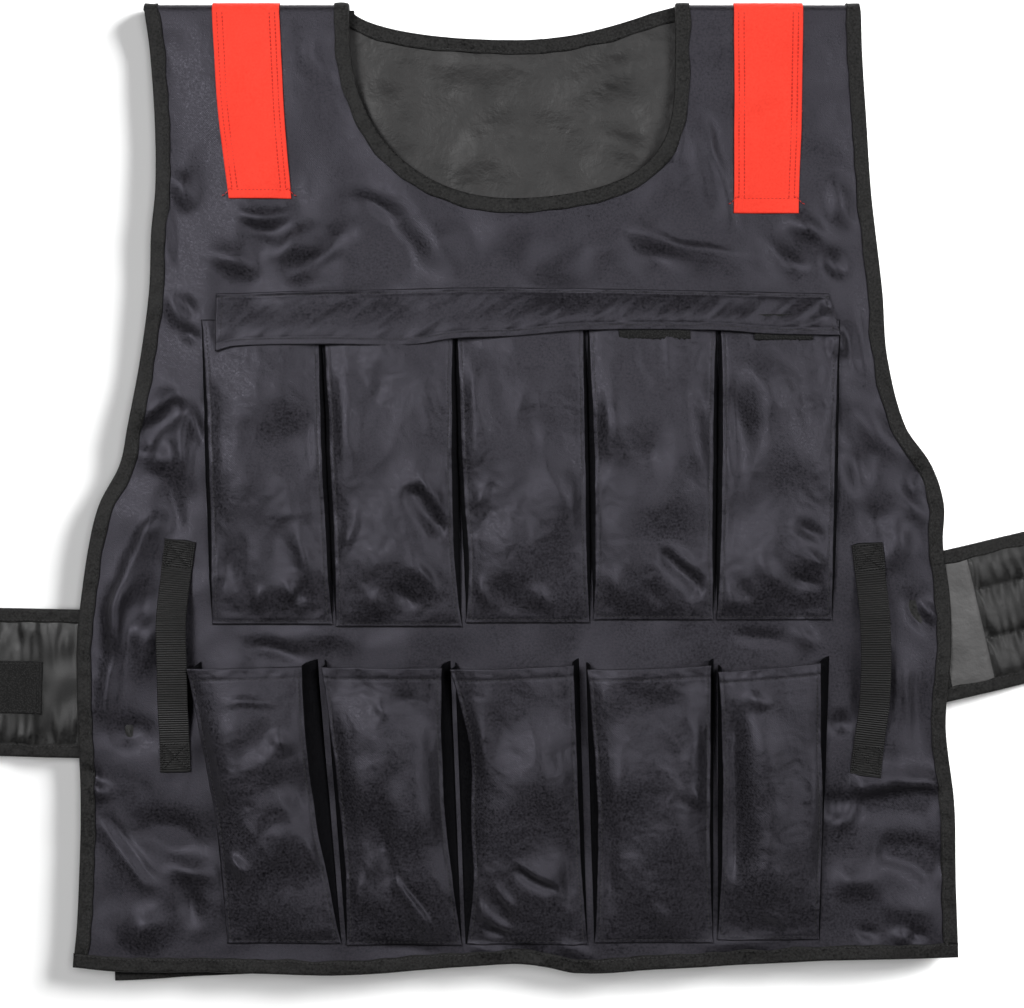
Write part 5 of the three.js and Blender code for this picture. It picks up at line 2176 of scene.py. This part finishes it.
@dataclass
class QuiltedBelt(Belt):
    """The right belt: a grey lining by the vest, then a seam and three gathered channels.

    Attributes:
        seam: how far from the vest's side the channels start.
        channels: the lines between them, across the belt.
        zigzag_pitch: the zigzag stitches' pitch and width.
    """

    seam: float = 22.0
    channels: tuple[float, float] = (-14.0, 19.0)
    zigzag_pitch: float = 2.4

    def relief(self, share: Array, across: Array) -> Array:
        """Plain near the vest; past the seam, puffed channels with gathers at their stitches.

        Args:
            share: shares of the free length.
            across: places across it.

        Returns:
            The swelling at each place.
        """
        at = share * self.free
        plain = 1.2 + 0.5 * soft_noise(at, across, 18, 431)
        lines = [np.abs(across - line) for line in self.channels]
        near = np.minimum.reduce([*lines, self.width / 2 - np.abs(across)])
        puff = 2.6 * (1 - np.exp(-near / 6.0))
        ripples = 1.7 * soft_noise(at, across * 0.25, 5.0, 433) * np.exp(-near / 9.0)
        groove = -0.6 * bell(at - self.seam, 1.5)
        past = smooth((at - self.seam) / 3.0)
        return plain * (1 - past) + (puff + ripples) * past + groove

    def build(self) -> None:
        """Makes the belt, the lining by the vest and the zigzag rows."""
        super().build()
        grid = self.cloth_grid(-0.04, self.seam / self.free, 44)
        grid[..., 2] += 0.35
        grid = grid[:, 4:-4]
        piece = sheet_piece("belt_right_facing", grid)
        give_wall(piece, 0.3)
        self.wardrobe.dress(piece, "belt_lining", Slot.BELT)
        threads = Stitches(pitch=2.4, radius=0.3)
        for line in self.channels:
            threads.add(self.zigzag(line), 0.2)
        share = np.full(40, self.seam / self.free)
        across = np.linspace(-0.42, 0.42, 40) * self.width
        threads.add(self.on_face(share, across), 0.3)
        self.wardrobe.dress(threads.build("channel_stitches"), "thread", Slot.BELT)

    def on_face(self, share: Array, across: Array) -> Array:
        """Places on its upper face."""
        x, y, level = self.point(share, across)
        return np.stack([x, y, level + self.edge / 2 + self.relief(share, across)], axis=1)

    def zigzag(self, line: float) -> Array:
        """A zigzag row, as wide as its pitch.

        Args:
            line: the channel's line across the belt.

        Returns:
            (n, 3) places.
        """
        count = int((self.free - self.seam) / self.zigzag_pitch)
        share = (self.seam + np.arange(count) * self.zigzag_pitch) / self.free
        across = line + self.zigzag_pitch / 2 * (-1.0) ** np.arange(count)
        keep = share < 0.96
        return self.on_face(share[keep], across[keep])


def closed_slab(name: str, top: Array, under: Array, flip: bool) -> Object:
    """A closed piece between an upper and a lower grid of the same size.

    Args:
        name: the piece's name.
        top: the upper grid.
        under: the lower grid.
        flip: whether to turn its faces round.

    Returns:
        The new object.
    """
    rows, columns = top.shape[:2]
    count = rows * columns
    upper = grid_quads(rows, columns)
    lower = grid_quads(rows, columns, count)[:, ::-1]
    index = np.arange(count).reshape(rows, columns)
    rim = np.concatenate([index[0, :-1], index[:-1, -1], index[-1, :0:-1], index[:0:-1, 0]])
    after = np.roll(rim, -1)
    walls = np.stack([rim, after, after + count, rim + count], axis=1)
    quads = np.concatenate([upper, lower, walls])
    if flip:
        quads = quads[:, ::-1]
    return make_piece(name, np.concatenate([top.reshape(-1, 3), under.reshape(-1, 3)]), quads)


@dataclass
class Studio:
    """The floor, the lights and the camera.

    Attributes:
        picture_across: what the picture shows from left to right.
        picture_middle_y: y in its middle.
        lens: the lens.
        sensor: the sensor's width.
    """

    picture_across: float = 682.7
    picture_middle_y: float = -12.7
    lens: float = 85.0
    sensor: float = 36.0

    def camera(self) -> None:
        """A long lens straight above, framed so that a pixel is two thirds of a millimetre."""
        data = bpy.data.cameras.new("camera")
        data.lens, data.sensor_width, data.sensor_fit = self.lens, self.sensor, "HORIZONTAL"
        camera = bpy.data.objects.new("camera", data)
        height = self.picture_across / self.sensor * self.lens + FRONT_TOP
        camera.location = (0, self.picture_middle_y * MM, height * MM)
        data.clip_end = 20.0
        bpy.context.scene.collection.objects.link(camera)
        bpy.context.scene.camera = camera

    def floor(self) -> Object:
        """A wide pale floor.

        Returns:
            The new object.
        """
        side = 4000.0
        upper, lower = ([(-side, y, 0.0), (side, y, 0.0)] for y in (side, -side))
        piece = sheet_piece("floor", np.array([upper, lower]))
        s = Shader("pale_floor")
        tone = s.blend(s.noise(3.0), (0.88, 0.88, 0.88), (0.90, 0.90, 0.90))
        piece.data.materials.append(s.finish(tone, 0.9, s.bump(s.noise(200.0), 0.02 * MM)))
        piece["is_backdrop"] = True
        return piece

    def area_light(self, name: str, place: tuple, size: float, power: float) -> Object:
        """A soft square light, turned towards the vest's middle.

        Args:
            name: its name.
            place: where it is, in metres.
            size: its side.
            power: its power in watts.

        Returns:
            The new light.
        """
        data = bpy.data.lights.new(name, "AREA")
        data.size, data.energy = size, power
        light = bpy.data.objects.new(name, data)
        light.location = place
        way = -np.array(place, float)
        flat = math.hypot(way[0], way[1])
        light.rotation_euler = (math.atan2(flat, -way[2]), 0, math.atan2(way[1], way[0]) - math.pi / 2)
        bpy.context.scene.collection.objects.link(light)
        return light

    def link_light(self, light: Object, floor: Object, state: str) -> None:
        """Lets a light fall on the floor alone, or on all but the floor.

        Args:
            light: the light.
            floor: the floor.
            state: INCLUDE for the floor alone, EXCLUDE for all else.
        """
        group = bpy.data.collections.new(light.name + "_receivers")
        group.objects.link(floor)
        light.light_linking.receiver_collection = group
        group.collection_objects[0].light_linking.link_state = state

    def lights(self, floor: Object) -> None:
        """A large light from the upper left and a weaker one from the upper right.

        The floor has two of its own, so that its shadow falls to the left and below.

        Args:
            floor: the floor.
        """
        for name, place, size, power in (
            ("window", (-1.25, 0.8, 2.25), 1.0, 59.0),
            ("reflector", (1.35, 0.45, 1.9), 1.1, 35.0),
        ):
            self.link_light(self.area_light(name, place, size, power), floor, "EXCLUDE")
        for name, place, size, power in (
            ("floor_soft", (0.0, 0.2, 2.4), 2.4, 40.0),
            ("floor_low", (2.6, 1.5, 1.0), 1.5, 440.0),
        ):
            self.link_light(self.area_light(name, place, size, power), floor, "INCLUDE")
        world = bpy.data.worlds.new("studio")
        world.use_nodes = True
        sky = world.node_tree.nodes["Background"]
        sky.inputs["Color"].default_value = (1, 1, 1, 1)
        sky.inputs["Strength"].default_value = 0.05
        bpy.context.scene.world = world

    def build(self) -> None:
        """Makes all of it, and asks for plain tones."""
        self.camera()
        self.lights(self.floor())
        bpy.context.scene.view_settings.view_transform = "Standard"
        bpy.context.scene.view_settings.look = "None"


def corners() -> list[list[float]]:
    """The shown object's lowest and highest corners as plain numbers."""
    return [[float(value) for value in corner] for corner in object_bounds()]


def main() -> None:
    """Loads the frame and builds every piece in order."""
    logging.basicConfig(level=logging.INFO, format="%(message)s")
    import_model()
    Studio().build()
    wardrobe = Wardrobe()
    surface = FrontSurface()
    shell = Shell(surface, wardrobe)
    shell.panels()
    shell.bind()
    front = PocketFront(surface, wardrobe)
    front.pockets()
    front.flap()
    ShoulderStrips(surface, wardrobe).build()
    Handles(surface, wardrobe).build()
    PatchedBelt("left", -1, -133.0, 1.0, wardrobe).build()
    QuiltedBelt("right", 1, -94.0, 13.0, wardrobe).build()


if __name__ == "__main__":
    main()
